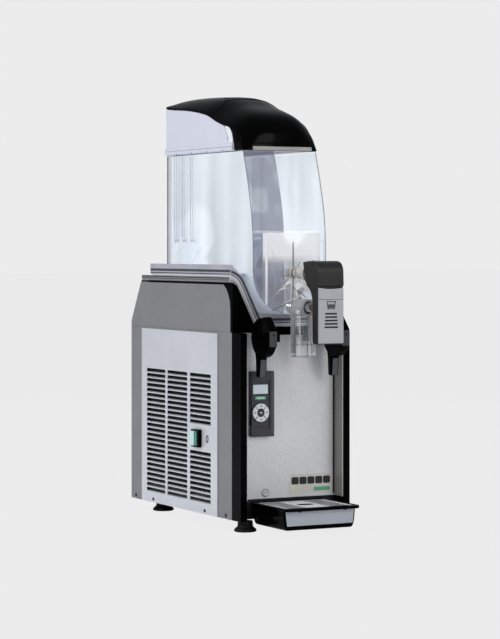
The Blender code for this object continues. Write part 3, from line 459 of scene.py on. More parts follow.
def smooth_line(points, steps):
    """Catmull-Rom curve through points of any dimension."""
    line = []
    padded = [points[0], *points, points[-1]]
    for a, b, c, d in zip(padded, padded[1:], padded[2:], padded[3:]):
        for i in range(steps):
            t = i / steps
            weights = (-t + 2 * t * t - t**3, 2 - 5 * t * t + 3 * t**3,
                       t + 4 * t * t - 3 * t**3, t**3 - t * t)
            near = list(zip(weights, (a, b, c, d)))
            line.append(tuple(0.5 * sum(w * p[k] for w, p in near) for k in range(len(a))))
    return line + [tuple(points[-1])]


def both(left):
    """A symmetric outline from its left half."""
    return left + [(-x, z) for x, z in reversed(left)]


def twin(low_x, high_x):
    """The mirror image of a stretch of x, on the left side, and the stretch itself."""
    return (-high_x, -low_x), (low_x, high_x)


def place(item, body, slot, *nodes):
    """Put a finished piece on its body and hide the CAD nodes it stands for. Its slot argument is not used.
    """
    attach(item, body)
    if nodes:
        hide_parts(*nodes)


def soften(node, width, segments=2):
    """Give a CAD node small rounded edges without touching its mesh."""
    flat = NODES[node].modifiers.new("Flatten", "DECIMATE")
    flat.decimate_type = "DISSOLVE"
    flat.angle_limit = math.radians(1.0)
    bevel(NODES[node], width, segments, 40)


def paint(look, node):
    """Give a CAD node a finished material."""
    mesh = NODES[node].data
    mesh.materials.clear()
    mesh.materials.append(LOOKS[look])


# ---------------------------------------------------------------- carried-over CAD nodes
def paint_frame():
    """Every CAD node gets its slot's finish, then the visible ones get their own."""
    for sub in frame["record"]["subparts"]:
        paint(sub["material_slot"], sub["node"])
    paint("front_steel", "front_panel")
    paint("drum_white", "evaporator_drum")
    paint("gloss_black", "latch_bracket")
    for node in ("side_shell_left", "side_shell_right", "side_cap_left", "side_cap_right"):
        soften(node, 0.0006)
    for node in ("front_column_left", "front_column_right"):
        soften(node, 0.0012, 3)
    for node in ("latch_bracket", "rear_panel", "base_pan", "condenser", "fan_shroud"):
        soften(node, 0.0005)


# ---------------------------------------------------------------- cabinet sides
LOUVRE_COLUMNS = ((0.0823, 0.1716), (-0.02, 0.0729), (-0.125, -0.0315))
LOUVRE_ROWS = 25
LOUVRE_PITCH = 0.0103
LOUVRE_FIRST_Z = 0.048
LOUVRE_SLOT = 0.007
SWITCH_HOLE = (0.0153, 0.0178)  # half its width and half its height
LOUVRE_CORNERS = (0.0008, 0.0008, 0.003, 0.003)  # sharp below, round above
# place of the dark sheet behind the louvres, which is painted shade
LOUVRE_SHADE_SHEET_X = 0.115
SWITCH = (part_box("switch_bezel")[0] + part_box("switch_bezel")[1]) / 2


def louvres(tag):
    """Ends and centre height of every louvre on one side, with room for the switch on the left."""
    for low_y, high_y in LOUVRE_COLUMNS:
        for row in range(LOUVRE_ROWS):
            z = LOUVRE_FIRST_Z + row * LOUVRE_PITCH
            if tag == "left" and low_y < SWITCH.y < high_y and abs(z - SWITCH.z) < 0.027:
                continue
            yield low_y, high_y, z


def tongue(data, side, low_y, high_y, z, face_x):
    """Bent metal lip that rises inwards from a slot's lower edge."""
    thick = 0.0007
    half = LOUVRE_SLOT / 2
    line = [(0.0, -half), (0.0004, -half + 0.0003), (0.0012, -half + 0.0005), (0.003, -half + 0.0006)]
    loop = line + [(d, z1 - thick) for d, z1 in reversed(line)]
    ends = []
    for y in (low_y + 0.0004, high_y - 0.0004):
        ends.append([data.verts.new((face_x - side * d, y, z + dz)) for d, dz in loop])
    count = len(loop)
    for i in range(count):
        data.faces.new((ends[0][i], ends[0][(i + 1) % count], ends[1][(i + 1) % count], ends[1][i]))
    data.faces.new(ends[0])
    data.faces.new(ends[1])


def build_louvres(tag, side):
    node = f"louvre_panel_{tag}"
    low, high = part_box(node)
    half = LOUVRE_SLOT / 2
    outline = round_rect((low.y, low.z), (high.y, high.z), (0.002,) * 4)
    holes = [round_rect((a, z - half), (b, z + half), LOUVRE_CORNERS, 4) for a, b, z in louvres(tag)]
    if tag == "left":
        wide, tall = SWITCH_HOLE
        corners = (SWITCH.y - wide, SWITCH.z - tall), (SWITCH.y + wide, SWITCH.z + tall)
        holes.append(round_rect(*corners, (0.001,) * 4))
    panel = sheet(f"louvred_panel_{tag}", outline, holes, "x", low.x, high.x, "panel_steel")
    panel.data.shade_flat()
    data = bmesh.new()
    face_x = high.x if side > 0 else low.x
    for low_y, high_y, z in louvres(tag):
        tongue(data, side, low_y, high_y, z, face_x)
    fuse(panel, finish("tongues", data, "panel_steel"))
    place(panel, "cabinet", "stainless", node)

    # a dark sheet behind the slots is painted shade, so that the slots read black
    x = side * LOUVRE_SHADE_SHEET_X
    shade_sheet = box(f"louvre_shade_sheet_{tag}", (x - 0.0004, low.y + 0.004, low.z + 0.02),
                  (x + 0.0004, high.y - 0.004, high.z - 0.02), "painted_shade_dark")
    place(shade_sheet, "cabinet", "black_plastic")
    return face_x


def screw(side, y, z, face_x, radius=0.0034):
    """Domed black screw with a cross recess, on a side of the cabinet."""
    profile = [(0, 0.002), (radius * 0.45, 0.0019), (radius * 0.85, 0.0013), (radius, 0.0004), (radius, 0.0),
               (0, 0.0)]
    head = lathe("screw", [(r, side * d) for r, d in profile], "x", (face_x, y, z), "black_plastic", 28)
    cross = [box("cutter", (face_x - 0.003, y - w, z - h), (face_x + 0.003, y + w, z + h))
             for w, h in ((0.0019, 0.0005), (0.0005, 0.0019))]
    # dark core seen through the cross recess: painted shade
    inner = box("core", (face_x, y - 0.0024, z - 0.0024), (face_x + side * 0.0011, y + 0.0024, z + 0.0024),
                "painted_shade_dark")
    return fuse(carve(head, *cross), inner)


def build_side(tag, side):
    """Louvred panel, its screws and the folds of the sheet metal round it."""
    panel_x = build_louvres(tag, side)
    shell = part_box(f"side_shell_{tag}")
    shell_x = shell[0].x if side < 0 else shell[1].x
    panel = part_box(f"louvre_panel_{tag}")
    screw_z = panel[0].z + 0.0068
    places = [(panel[1].y + 0.031, shell_x), (panel[1].y - 0.057, panel_x)]
    places += [(panel[0].y + 0.054, panel_x), (panel[0].y - 0.035, shell_x)]
    heads = [screw(side, y, screw_z, x) for y, x in places]
    heads[0].name = f"side_screws_{tag}"
    place(fuse(*heads), "cabinet", "black_plastic")

    for edge, y in (("rear", panel[1].y + 0.0022), ("front", panel[0].y - 0.0022)):
        line = [(shell_x, y, shell[0].z + 0.002), (shell_x, y, panel[1].z)]
        place(tube(f"side_fold_{edge}_{tag}", line, 0.0008, "grey_paint", 10), "cabinet", "grey_paint")
    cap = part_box(f"side_cap_{tag}")
    fold = box(f"cap_fold_{tag}", (shell_x - 0.0006, cap[0].y + 0.001, cap[0].z + 0.001),
               (shell_x + 0.0006, cap[1].y - 0.001, cap[0].z + 0.0026), "grey_paint", 0.0005, 2)
    place(fold, "cabinet", "grey_paint")


# ---------------------------------------------------------------- switch and controls
def build_switch():
    low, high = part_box("switch_bezel")
    (x0, y0, z0), (x1, y1, z1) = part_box("switch_rocker")
    bezel = slab("switch_frame", "x", (low.x, low.y - 0.003, low.z), high, 0.0016, "gloss_black")
    window = slab("cutter", "x", (low.x - 0.01, y0 - 0.0008, z0 - 0.0004),
                  (high.x - 0.0015, y1 + 0.0008, z1 + 0.0004), 0.0008)
    place(rounded(carve(bezel, window), 0.0005, 2), "cabinet", "gloss_black", "switch_bezel")

    middle = (y0 + y1) / 2
    wings = smooth_line([(x0 + 0.0012, y0 + 0.0004), (x0 + 0.0018, middle - 0.004), (x0 + 0.001, middle),
                         (x0 - 0.0014, middle + 0.004), (x0 - 0.004, y1 - 0.0004)], 4)
    outline = wings + [(x0 + 0.0085, y1), (x1, middle + 0.006), (x1, middle - 0.006), (x0 + 0.0085, y0)]
    rocker = prism("switch_paddle", outline, "z", z0, z1, "green_switch", 0.0006, 2)
    rocker.data.materials.append(LOOKS["switch_glare"])
    for face in rocker.data.polygons:
        if face.center.y > middle and face.center.x < x0 + 0.006:
            face.material_index = 1
    place(rocker, "switch_rocker", "green_switch", "switch_rocker")

    mark_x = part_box("louvre_panel_left")[0].x - 0.0002
    ring = [(mark_x, SWITCH.y - 0.0425 + 0.004 * c, SWITCH.z + 0.001 + 0.0066 * s) for c, s in circle(36)]
    place(tube("off_ring_mark", ring, 0.001, "mark_dark", closed=True), "cabinet", "black_plastic")


RING_RADIUS = 0.019  # round hollow that holds the five keys


def build_controls():
    low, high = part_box("control_housing")
    key_low, key_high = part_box("key_ok")
    x, z = (key_low.x + key_high.x) / 2, (key_low.z + key_high.z) / 2
    face_y = low.y + 0.0022
    housing = slab("control_frame", "y", low, high, 0.0012, "charcoal")
    recess = slab("cutter", "y", (low.x + 0.0015, low.y - 0.01, low.z + 0.017),
                  (high.x - 0.0095, face_y, high.z - 0.017), 0.001)
    hollow = rod("cutter", RING_RADIUS, "y", (x, 0, z), low.y - 0.01, face_y + 0.0009, edge=0.0001, steps=56)
    rounded(carve(housing, recess, hollow), 0.0005, 2)
    strip = box("strip", (high.x - 0.0052, low.y - 0.0001, low.z + 0.002),
                (high.x - 0.0006, low.y + 0.004, high.z - 0.002), "latch_face", 0.0004, 2)
    # dark strip at the recess's right wall: painted shade
    dark = box("dark", (high.x - 0.0098, low.y + 0.0004, low.z + 0.012),
               (high.x - 0.0072, low.y + 0.0035, high.z - 0.014), "painted_shade_dark", 0.0003, 2)
    place(fuse(housing, strip, dark), "cabinet", "black_plastic", "control_housing")

    left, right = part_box("display_window")
    screen = slab("display_glass", "y", (left.x, face_y - 0.0012, left.z),
                  (right.x, face_y + 0.0008, right.z), 0.0012, "display", 0.0004)
    place(screen, "cabinet", "clear", "display_window")
    lamp_z = left.z - 0.008
    lamp = slab("status_lamp", "y", (left.x + 0.004, face_y - 0.001, lamp_z - 0.0033),
                (right.x - 0.004, face_y + 0.0008, lamp_z + 0.0033), 0.003, "green_label", 0.0003)
    core = slab("lamp_core", "y", (left.x + 0.0075, face_y - 0.0012, lamp_z - 0.0012),
                (right.x - 0.0075, face_y, lamp_z + 0.0012), 0.0011, "key_white", 0.0002)
    place(fuse(lamp, core), "cabinet", "green_switch")
    build_keys(x, z, key_low.y, key_high.y, face_y)


def build_keys(x, z, front, back, face_y):
    """Hollow with its floor painted dark as shade, centre key with a plain bar and four ring sectors with
    arrows.
    """
    well = RING_RADIUS - 0.0001
    floor = [(0, face_y + 0.0004), (well, face_y + 0.0004), (well, face_y + 0.001), (0, face_y + 0.001)]
    place(lathe("key_well", floor, "y", (x, 0, z), "painted_shade_dark", 56), "cabinet", "black_plastic")
    profile = [(0, front + 0.0004), (0.0035, front + 0.0002), (0.006, front + 0.0004),
               (0.0068, front + 0.0012), (0.0068, back), (0, back)]
    ok_key = lathe("ok_key", profile, "y", (x, 0, z), "charcoal", 40)
    mark = slab("mark", "y", (x - 0.003, front - 0.00005, z - 0.0009),
                (x + 0.003, front + 0.0006, z + 0.0009), 0.0008, "key_white")
    place(fuse(ok_key, mark), "key_ok", "black_plastic", "key_ok")
    for tag, angle in {"right": 0, "up": 90, "left": 180, "down": 270}.items():
        sector = arc((x, z), 0.0178, angle - 42.5, angle + 42.5, 16)
        sector += arc((x, z), 0.0082, angle + 41, angle - 41, 10)
        key = prism(f"{tag}_key", sector, "y", front, back, "key_white", 0.0005, 2)
        turn = Matrix.Rotation(-math.radians(angle), 3, "Y")
        tip = [turn @ Vector(p) for p in ((0.0152, 0, 0), (0.0118, 0, 0.0022), (0.0118, 0, -0.0022))]
        tip = [(x + p.x, z + p.z) for p in tip]
        arrow = prism("arrow", tip, "y", front - 0.00008, front + 0.0006, "mark_dark")
        place(fuse(key, arrow), f"key_{tag}", "white_plastic", f"key_{tag}")


# ---------------------------------------------------------------- front panel details
FACE_DEPTH = 0.032  # how far the front panel's face lies behind its flanges


def build_front_details():
    low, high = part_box("front_panel")
    face_y = low.y + FACE_DEPTH
    x, z = low.x + 0.0567, low.z + 0.011
    profile = [(0, -0.003), (0.0018, -0.003), (0.0022, -0.0022), (0.005, -0.0024), (0.0064, -0.0014),
               (0.0066, 0.0), (0, 0.0)]
    lock = lathe("panel_lock", profile, "y", (x, face_y, z), "aluminium", 40)
    # dark key slot: painted shade
    slot = box("slot", (x - 0.0006, face_y - 0.0032, z - 0.0016), (x + 0.0006, face_y - 0.0028, z + 0.0016),
               "mark_dark")
    profile = [(0.006, -0.0012), (0.008, -0.0008), (0.0082, 0.0), (0.006, 0.0)]
    ring = lathe("ring", profile, "y", (x, face_y, z), "strip_grey", 40)
    place(fuse(lock, slot, ring), "cabinet", "aluminium")
    hem = box("front_panel_hem", (low.x + 0.002, face_y - 0.0018, low.z),
              (high.x - 0.002, face_y - 0.0002, low.z + 0.0035), "front_steel", 0.0006, 2)
    place(hem, "cabinet", "stainless")
    # flange linings in darker steel and dark corner lines: painted shade
    linings = twin(high.x - 0.002, high.x - 0.0013)
    lines = twin(high.x - 0.005, high.x - 0.0022)
    for tag, (a, b), (c, d) in zip(("left", "right"), linings, lines):
        lining = box(f"inner_flange_{tag}", (a, face_y - 0.0305, low.z + 0.001),
                     (b, face_y - 0.0006, high.z - 0.0015), "shaded_flange_steel", 0.0002, 2)
        line = box("line", (c, face_y - 0.001, low.z + 0.001), (d, face_y - 0.0003, high.z - 0.0015),
                   "painted_shade_dark")
        place(fuse(lining, line), "cabinet", "stainless")
    build_badge(high.x - 0.1015, high.x - 0.008, low.z + 0.0075, low.z + 0.044, face_y)


BADGE_BLOCKS = 5
BADGE_PITCH = 0.0177
BADGE_BLOCK = 0.016


def build_badge(left, right, bottom, top, face_y):
    """Label without words: a row of plain blocks and a bar."""
    badge = slab("blank_badge", "y", (left, face_y - 0.0008, bottom), (right, face_y - 0.0001, top), 0.0015,
                 "label_cream", 0.0003)
    marks = []
    for k in range(BADGE_BLOCKS):
        start = left + 0.003 + k * BADGE_PITCH
        marks.append(slab("mark", "y", (start, face_y - 0.0012, top - 0.0195),
                          (start + BADGE_BLOCK, face_y - 0.0006, top - 0.005), 0.003, "mark_dark", 0.0002))
    marks.append(slab("mark", "y", (right - 0.041, face_y - 0.0012, bottom + 0.003),
                      (right - 0.004, face_y - 0.0006, bottom + 0.0105), 0.003, "green_label", 0.0002))
    place(fuse(badge, *marks), "cabinet", "stainless")


def build_feet():
    profile = [(0, 0.0), (0.0195, 0.0), (0.0215, 0.001), (0.0219, 0.0025), (0.0214, 0.0045), (0.02, 0.0062),
               (0.0178, 0.0078), (0.016, 0.0092), (0.0154, 0.0106), (0.0154, 0.0122), (0.0144, 0.0128),
               (0.0144, 0.014), (0.0152, 0.0146), (0.0152, 0.016), (0.0144, 0.0166)]
    for tag in ("front_left", "front_right", "rear_left", "rear_right"):
        low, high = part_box(f"foot_{tag}")
        centre = ((low.x + high.x) / 2, (low.y + high.y) / 2, 0)
        neck = [(0.0144, high.z), (0, high.z)]
        foot = lathe(f"rubber_foot_{tag}", profile + neck, "z", centre, "rubber", 56)
        place(foot, "cabinet", "rubber", f"foot_{tag}")


# ---------------------------------------------------------------- deck, gasket and bowl skirt
DECK_CREST = (-0.126, 0.4625)
DECK_RADIUS = 0.03
DECK_LEAN = 26
DECK_FLOOR = (0.397, 0.02)
SKIRT_CREST = (-0.134, 0.4726)
SKIRT_RADIUS = 0.044
SKIRT_LEAN = 27.5
SKIRT_FLOOR = (0.4185, 0.03)
SHOULDER_Z = 0.4925  # underside of the skirt's shoulders
# dark and grey stripes along the flange's moulded steps: painted shade lines
SKIRT_STRIPES = ((0.0044, 0.0058, "mark_dark"), (0.0086, 0.0124, "latch_face"), (0.0124, 0.0134, "mark_dark"))


def trough(crest, crest_radius, first_angle, lean, floor_z, floor_radius, steps=14):
    """Left half of a trough seen from the front: over the crest, down the slope, round to the floor."""
    over = arc(crest, crest_radius, first_angle, lean, steps)
    meet_z = floor_z + floor_radius - floor_radius * math.sin(math.radians(lean))
    meet_x = over[-1][0] + (over[-1][1] - meet_z) * math.tan(math.radians(lean))
    centre = (meet_x + floor_radius * math.cos(math.radians(lean)), floor_z + floor_radius)
    return over + arc(centre, floor_radius, 180 + lean, 270, steps)


def deck_trough(offset, half_width):
    """Left half of the deck's outline, pushed out by an offset and cut off at a half width."""
    radius = DECK_RADIUS + offset
    first = math.degrees(math.acos((-half_width - DECK_CREST[0]) / radius))
    return trough(DECK_CREST, radius, first, DECK_LEAN, DECK_FLOOR[0] + offset, DECK_FLOOR[1] - offset)


def band(name, bottom, top, half_width, low_y, high_y, look, radius=0.0):
    """Layer over the deck between two offsets."""
    outline = both(deck_trough(top, half_width)) + both(deck_trough(bottom, half_width))[::-1]
    return prism(name, outline, "y", low_y, high_y, look, radius, 3, 45)


def build_deck():
    low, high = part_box("deck_pan")
    deck = band("deck_plate", -0.003, 0.0, high.x, low.y + 0.004, high.y, "stainless")
    carve(deck, box("cutter", (-0.054, 0.163, 0.37), (0.054, 0.22, 0.51)))
    lip = band("deck_lip", -0.0106, 0.0, high.x - 0.0035, low.y, low.y + 0.006, "stainless", 0.0014)
    groove = band("deck_groove", -0.0062, -0.0048, high.x - 0.0035, low.y - 0.0004, low.y + 0.002, "charcoal")
    sides = []
    for (a, b), (c, d) in zip(twin(high.x - 0.004, high.x), twin(high.x - 0.002, high.x + 0.0002)):
        side = box("side", (a, low.y + 0.0004, high.z - 0.0107), (b, high.y, high.z - 0.0004), "stainless",
                   0.0012)
        line = box("line", (c, low.y + 0.004, high.z - 0.0064), (d, high.y, high.z - 0.0052), "charcoal")
        sides += [side, line]
    place(fuse(deck, lip, groove, *sides), "cabinet", "stainless", "deck_pan")

    low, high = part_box("flange_gasket")
    gasket = band("gasket_strip", GAP, 0.0038, high.x, low.y, high.y, "pale_rubber", 0.0008)
    carve(gasket, box("cutter", (-0.096, -0.19, 0.37), (0.096, 0.16, 0.51)))
    place(gasket, "cabinet", "pale_rubber", "flange_gasket")


def build_skirt():
    """Smooth band under the bowl, with its front collar and the shoulders along both sides."""
    first = math.degrees(math.acos((-0.111 - SKIRT_CREST[0]) / SKIRT_RADIUS))
    top = [(-0.117, 0.516), (-0.1125, 0.515)]
    top += trough(SKIRT_CREST, SKIRT_RADIUS, first, SKIRT_LEAN, *SKIRT_FLOOR)
    outline = both(top) + both(deck_trough(0.0041, 0.117))[::-1]
    skirt = prism("skirt", outline, "y", -0.2005, 0.166, "skirt_top")
    stripes = []
    for bottom, top, look in SKIRT_STRIPES:
        stripes.append(band("stripe", bottom, top, 0.116, -0.2009, -0.2, look))
        for a, b in twin(0.1165, 0.1173):
            low, high = (a, -0.199, SHOULDER_Z + bottom), (b, 0.164, SHOULDER_Z + top)
            stripes.append(box("stripe", low, high, look))
    carve(skirt, box("cutter", (-0.1035, -0.185, 0.37), (0.1035, 0.18, 0.493)))
    rounded(skirt, 0.0014, 3, 50)
    for a, b in twin(0.079, 0.105):
        fuse(skirt, box("web", (a, -0.19, SHOULDER_Z), (b, 0.158, SHOULDER_Z + 0.006), "skirt_top", 0.001, 2))
    return fuse(skirt, *stripes)


# ---------------------------------------------------------------- bowl
BOWL_FRONT = ((-0.184, 0.739), (-0.2, 0.69), (-0.211, 0.651), (-0.2205, 0.61), (-0.226, 0.56))
BOWL_HALF_WIDTH = 0.082
BOWL_WALL = 0.0025
BOWL_REAR_Y = 0.1585


def bowl_block(name, inset, top, edge, look=None):
    """Solid of the bowl's outer (inset 0) or inner shape: round bottom, straight sides, leaning front."""
    half = BOWL_HALF_WIDTH - inset
    curve = smooth_line([(y + inset, z) for y, z in BOWL_FRONT], 4)
    section = arc((0, AXIS_Z), half, 180, 360, 64) + [(half, top), (-half, top)]
    low_front = curve[-1][0]
    rear = BOWL_REAR_Y - inset
    block = prism(name, section, "y", low_front, rear, look, edge, 4, 60)
    side = [(rear + 0.002, 0.4), (rear + 0.002, top + 0.002), (curve[0][0] + 0.002, top + 0.002)]
    side += [*curve, (low_front - 0.0005, 0.4)]
    return carve(block, prism("cutter", side, "x", -0.1, 0.1), operation="INTERSECT")


def front_holes():
    """Cutters for the auger's journal and the tap's barrel in the bowl's front."""
    journal = rod("cutter", 0.0093, "y", AXIS, -0.2345, -0.2)
    barrel = rod("cutter", 0.0115, "y", TAP_AXIS, -0.245, -0.2)
    return journal, barrel


def build_bowl():
    bowl = bowl_block("bowl_shell", 0.0, LID_Z - 0.0007, 0.0045, "bowl_clear")
    inner = bowl_block("cutter", BOWL_WALL, LID_Z + 0.01, 0.003)
    drum_way = rod("cutter", BOWL_HALF_WIDTH - BOWL_WALL, "y", AXIS, 0.1, 0.18, steps=96)
    carve(bowl, inner, drum_way, *front_holes())
    # front faces take the look with painted shade on its left part, faces under the axis the one with less
    # painted glow
    bowl.data.materials.append(LOOKS["bowl_front"])
    bowl.data.materials.append(LOOKS["clear"])
    for face in bowl.data.polygons:
        if face.normal.y < -0.75:
            face.material_index = 1
        elif face.center.z < AXIS_Z - 0.004:
            face.material_index = 2
    bowl.data.shade_smooth()
    bowl.data.set_sharp_from_angle(angle=math.radians(40))

    rim = LID_Z - 0.0012
    details = []
    for y in (0.124, 0.086, 0.048):
        for wall in (0.0004 - BOWL_HALF_WIDTH, BOWL_HALF_WIDTH - 0.0004):
            rib = [(wall, y, rim - 0.002), (wall, y, 0.575), (wall, y - 0.004, 0.56), (wall, y - 0.01, 0.566)]
            details.append(tube("rib", rib, 0.00075, "bowl_line"))
    # dark lines along the bowl's front and rear corners: painted shade
    front_edge = smooth_line([(y + 0.0012, z) for y, z in BOWL_FRONT], 4)
    front_edge.append((front_edge[-1][0], 0.5))
    rear_y = BOWL_REAR_Y - 0.0016
    for wall in (0.0012 - BOWL_HALF_WIDTH, BOWL_HALF_WIDTH - 0.0012):
        line = [(wall, y, min(z, rim)) for y, z in front_edge]
        details.append(tube("front_edge", line, 0.0007, "painted_edge_shade"))
        details.append(tube("rear_edge", [(wall, rear_y, rim), (wall, rear_y, 0.5)], 0.002, "painted_edge_shade"))
    place(fuse(bowl, build_skirt(), build_pad(), *details), "bowl", "clear", "bowl")


def build_pad():
    """Thick flat plate moulded on the bowl's front, with a painted highlight along its left edge and an
    upright fin.
    """
    front = -0.2385
    outline = arc((0, AXIS_Z), BOWL_HALF_WIDTH, 222, 318, 32) + [(0.061, 0.578), (-0.061, 0.578)]
    pad = prism("pad", outline, "y", front, -0.2262, "pad_painted_reflection", 0.0014, 3, 45)
    carve(pad, *front_holes())
    # pale strip on the left edge: painted highlight
    edge = box("edge", (-0.0606, front - 0.0005, 0.4385), (-0.056, front + 0.001, 0.577), "painted_highlight_white",
               0.0004, 2)
    # the fin is painted dark as shade
    side = [(front + 0.0005, 0.445), (front - 0.0005, 0.47), (front - 0.0016, 0.52), (front - 0.0008, 0.556),
            (front + 0.0005, 0.563)]
    return fuse(pad, edge, prism("fin", side, "x", -0.0011, 0.0011, "painted_edge_shade", 0.0003, 2))


# ---------------------------------------------------------------- auger
AUGER_TURNS = 3
AUGER_STEPS = AUGER_TURNS * 72
FLIGHT_ROOT = 0.07
FLIGHT_SHOULDER = 0.0735


def build_flight(start, end, radius):
    """Helical blade, thick at its root and thin at its rim."""
    half = [(FLIGHT_ROOT, 0.004), (FLIGHT_SHOULDER, 0.003), (radius - 0.0008, 0.0022), (radius, 0.0012)]
    corners = [(r, -d) for r, d in half] + half[::-1]
    data = bmesh.new()
    rings = []
    for i in range(AUGER_STEPS + 1):
        t = math.tau * AUGER_TURNS * i / AUGER_STEPS
        y = start + (end - start) * i / AUGER_STEPS
        rings.append([data.verts.new((r * math.cos(t), y + d, AXIS_Z + r * math.sin(t))) for r, d in corners])
    count = len(corners)
    for first, second in zip(rings, rings[1:]):
        for k in range(count):
            data.faces.new((first[k], first[(k + 1) % count], second[(k + 1) % count], second[k]))
    data.faces.new(rings[0])
    data.faces.new(rings[-1])
    return finish("auger_flight", data, "auger_white")


def build_auger():
    low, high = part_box("auger")
    start, end = low.y + 0.006, high.y
    parts = []
    for a, b in twin(0.0715, 0.0765):
        parts.append(box("bar", (a, start - 0.002, AXIS_Z - 0.003), (b, end - 0.006, AXIS_Z + 0.003),
                         "auger_white", 0.0012))
    parts.append(box("arm", (-0.075, start - 0.0035, AXIS_Z - 0.009), (0.075, start + 0.0035, AXIS_Z + 0.009),
                     "auger_white", 0.0025))
    hub = [(0.0083, start - 0.006), (0.022, start - 0.006), (0.026, start - 0.005), (0.03, start - 0.002),
           (0.031, start), (0.03, start + 0.0045), (0.0083, start + 0.0045)]
    parts.append(lathe("hub", hub, "y", AXIS, "auger_white"))
    place(fuse(build_flight(start, end - 0.005, high.x), *parts), "auger", "white_plastic", "auger")
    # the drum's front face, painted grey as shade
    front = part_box("evaporator_drum")[0].y
    disc = [(0.01, front - 0.0011), (0.056, front - 0.0011), (0.0575, front - 0.0004),
            (0.0575, front + 0.0002), (0.01, front + 0.0002)]
    place(lathe("drum_front_disc", disc, "y", AXIS, "disc_grey", 72), "cabinet", "white_plastic")


# ---------------------------------------------------------------- tap
SPOUT_Y = -0.278
SPOUT_RADIUS = 0.0236
PISTON_RADIUS = 0.0128
SPRING_RADIUS = 0.0075
SPRING_PITCH = 0.003
SPRING_TURNS = 5
SPRING_STEPS = 20
SPRING_BACK_Y = -0.3005


def build_tap():
    low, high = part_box("tap_body")
    bottom = low.z
    centre = (0, SPOUT_Y, 0)
    profile = [(0.0205, bottom + 0.0006), (0.0212, bottom), (0.0236, bottom), (0.024, bottom + 0.001),
               (0.0238, TAP_Z - 0.03), (0.024, TAP_Z - 0.012), (0.023, TAP_Z - 0.006), (0.02, TAP_Z - 0.002),
               (0.0165, TAP_Z), (0.0, TAP_Z), (0.0, TAP_Z - 0.004), (0.0175, TAP_Z - 0.004),
               (0.0205, TAP_Z - 0.008)]
    spout = lathe("tap_spout", profile, "z", centre, "spout_clear", 72)
    carve(spout, rod("cutter", 0.0136, "y", TAP_AXIS, -0.33, -0.23, steps=64))
    ribs = [(0.0136, high.y), (0.0165, high.y)]
    for k in range(3):
        y = high.y - 0.01 - k * 0.0068
        ribs += [(0.0162, y + 0.0012), (0.0178, y + 0.0008), (0.018, y), (0.0178, y - 0.0008),
                 (0.0162, y - 0.0012)]
    ribs += [(0.0165, low.y + 0.004), (0.0176, low.y + 0.003), (0.0176, low.y), (0.0136, low.y)]
    barrel = lathe("barrel", ribs, "y", TAP_AXIS, "spout_clear", 56)
    profile = [(0.0203, bottom + 0.0045), (0.0242, bottom + 0.0052), (0.0245, bottom + 0.0062),
               (0.0242, bottom + 0.0072), (0.0203, bottom + 0.007)]
    lip = lathe("lip", profile, "z", centre, "clear", 72)
    lines = []
    # dark rings at the clear spout's edges: painted shade
    for z in (bottom + 0.0008, bottom + 0.0235, TAP_Z - 0.013):
        ring = [(SPOUT_RADIUS * c, SPOUT_Y + SPOUT_RADIUS * s, z) for c, s in circle(64)]
        lines.append(tube("ring", ring, 0.00045, "painted_edge_shade", closed=True))
    # pale painted highlights and dark painted edge shade running up the clear spout
    for turn, look in ((200, "painted_edge_shade"), (228, "painted_highlight_white"), (262, "painted_edge_shade"), (318, "painted_highlight_white")):
        x, y = 0.0238 * math.cos(math.radians(turn)), SPOUT_Y + 0.0238 * math.sin(math.radians(turn))
        lines.append(tube("painted_streak", [(x, y, bottom + 0.002), (x, y, TAP_Z - 0.016)], 0.0008, look))
    place(fuse(spout, barrel, lip, *lines), "bowl", "clear", "tap_body")

    long_wire = [(-0.048, -0.242, 0.427), (-0.027, -0.248, 0.437), (0.0, -0.256, 0.448),
                 (0.006, -0.2575, 0.4525), (0.009, -0.2585, 0.446), (0.008, -0.259, 0.449)]
    short_wire = [(-0.0085, -0.256, 0.485), (-0.01, -0.2575, 0.474), (-0.003, -0.259, 0.465),
                  (0.008, -0.26, 0.459), (0.016, -0.261, 0.452)]
    wires = [tube("drip_wires", smooth_line(wire, 6), 0.0006, "mark_dark")
             for wire in (long_wire, short_wire)]
    place(fuse(*wires), "bowl", "aluminium")


def build_piston():
    low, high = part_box("tap_piston")
    r = PISTON_RADIUS
    profile = [(0, low.y), (0.0038, low.y), (0.005, low.y + 0.0012), (0.005, -0.3), (0.0075, -0.2975),
               (0.0122, -0.295), (r, -0.294), (r, -0.26), (0.0105, -0.259), (0.0105, -0.257), (r, -0.256),
               (r, -0.253), (0.01, -0.253), (0.01, -0.248), (r, -0.248), (0.0124, high.y), (0, high.y)]
    piston = lathe("piston", profile, "y", TAP_AXIS, "piston_dark", 48)
    place(piston, "tap_piston", "white_plastic", "tap_piston")
    coil = []
    for i in range(SPRING_STEPS * SPRING_TURNS + 1):
        t = math.tau * i / SPRING_STEPS
        y = SPRING_BACK_Y - SPRING_PITCH * t / math.tau
        coil.append((SPRING_RADIUS * math.cos(t), y, TAP_Z + SPRING_RADIUS * math.sin(t)))
    place(tube("return_spring", coil, 0.0006, "aluminium"), "tap_piston", "aluminium")


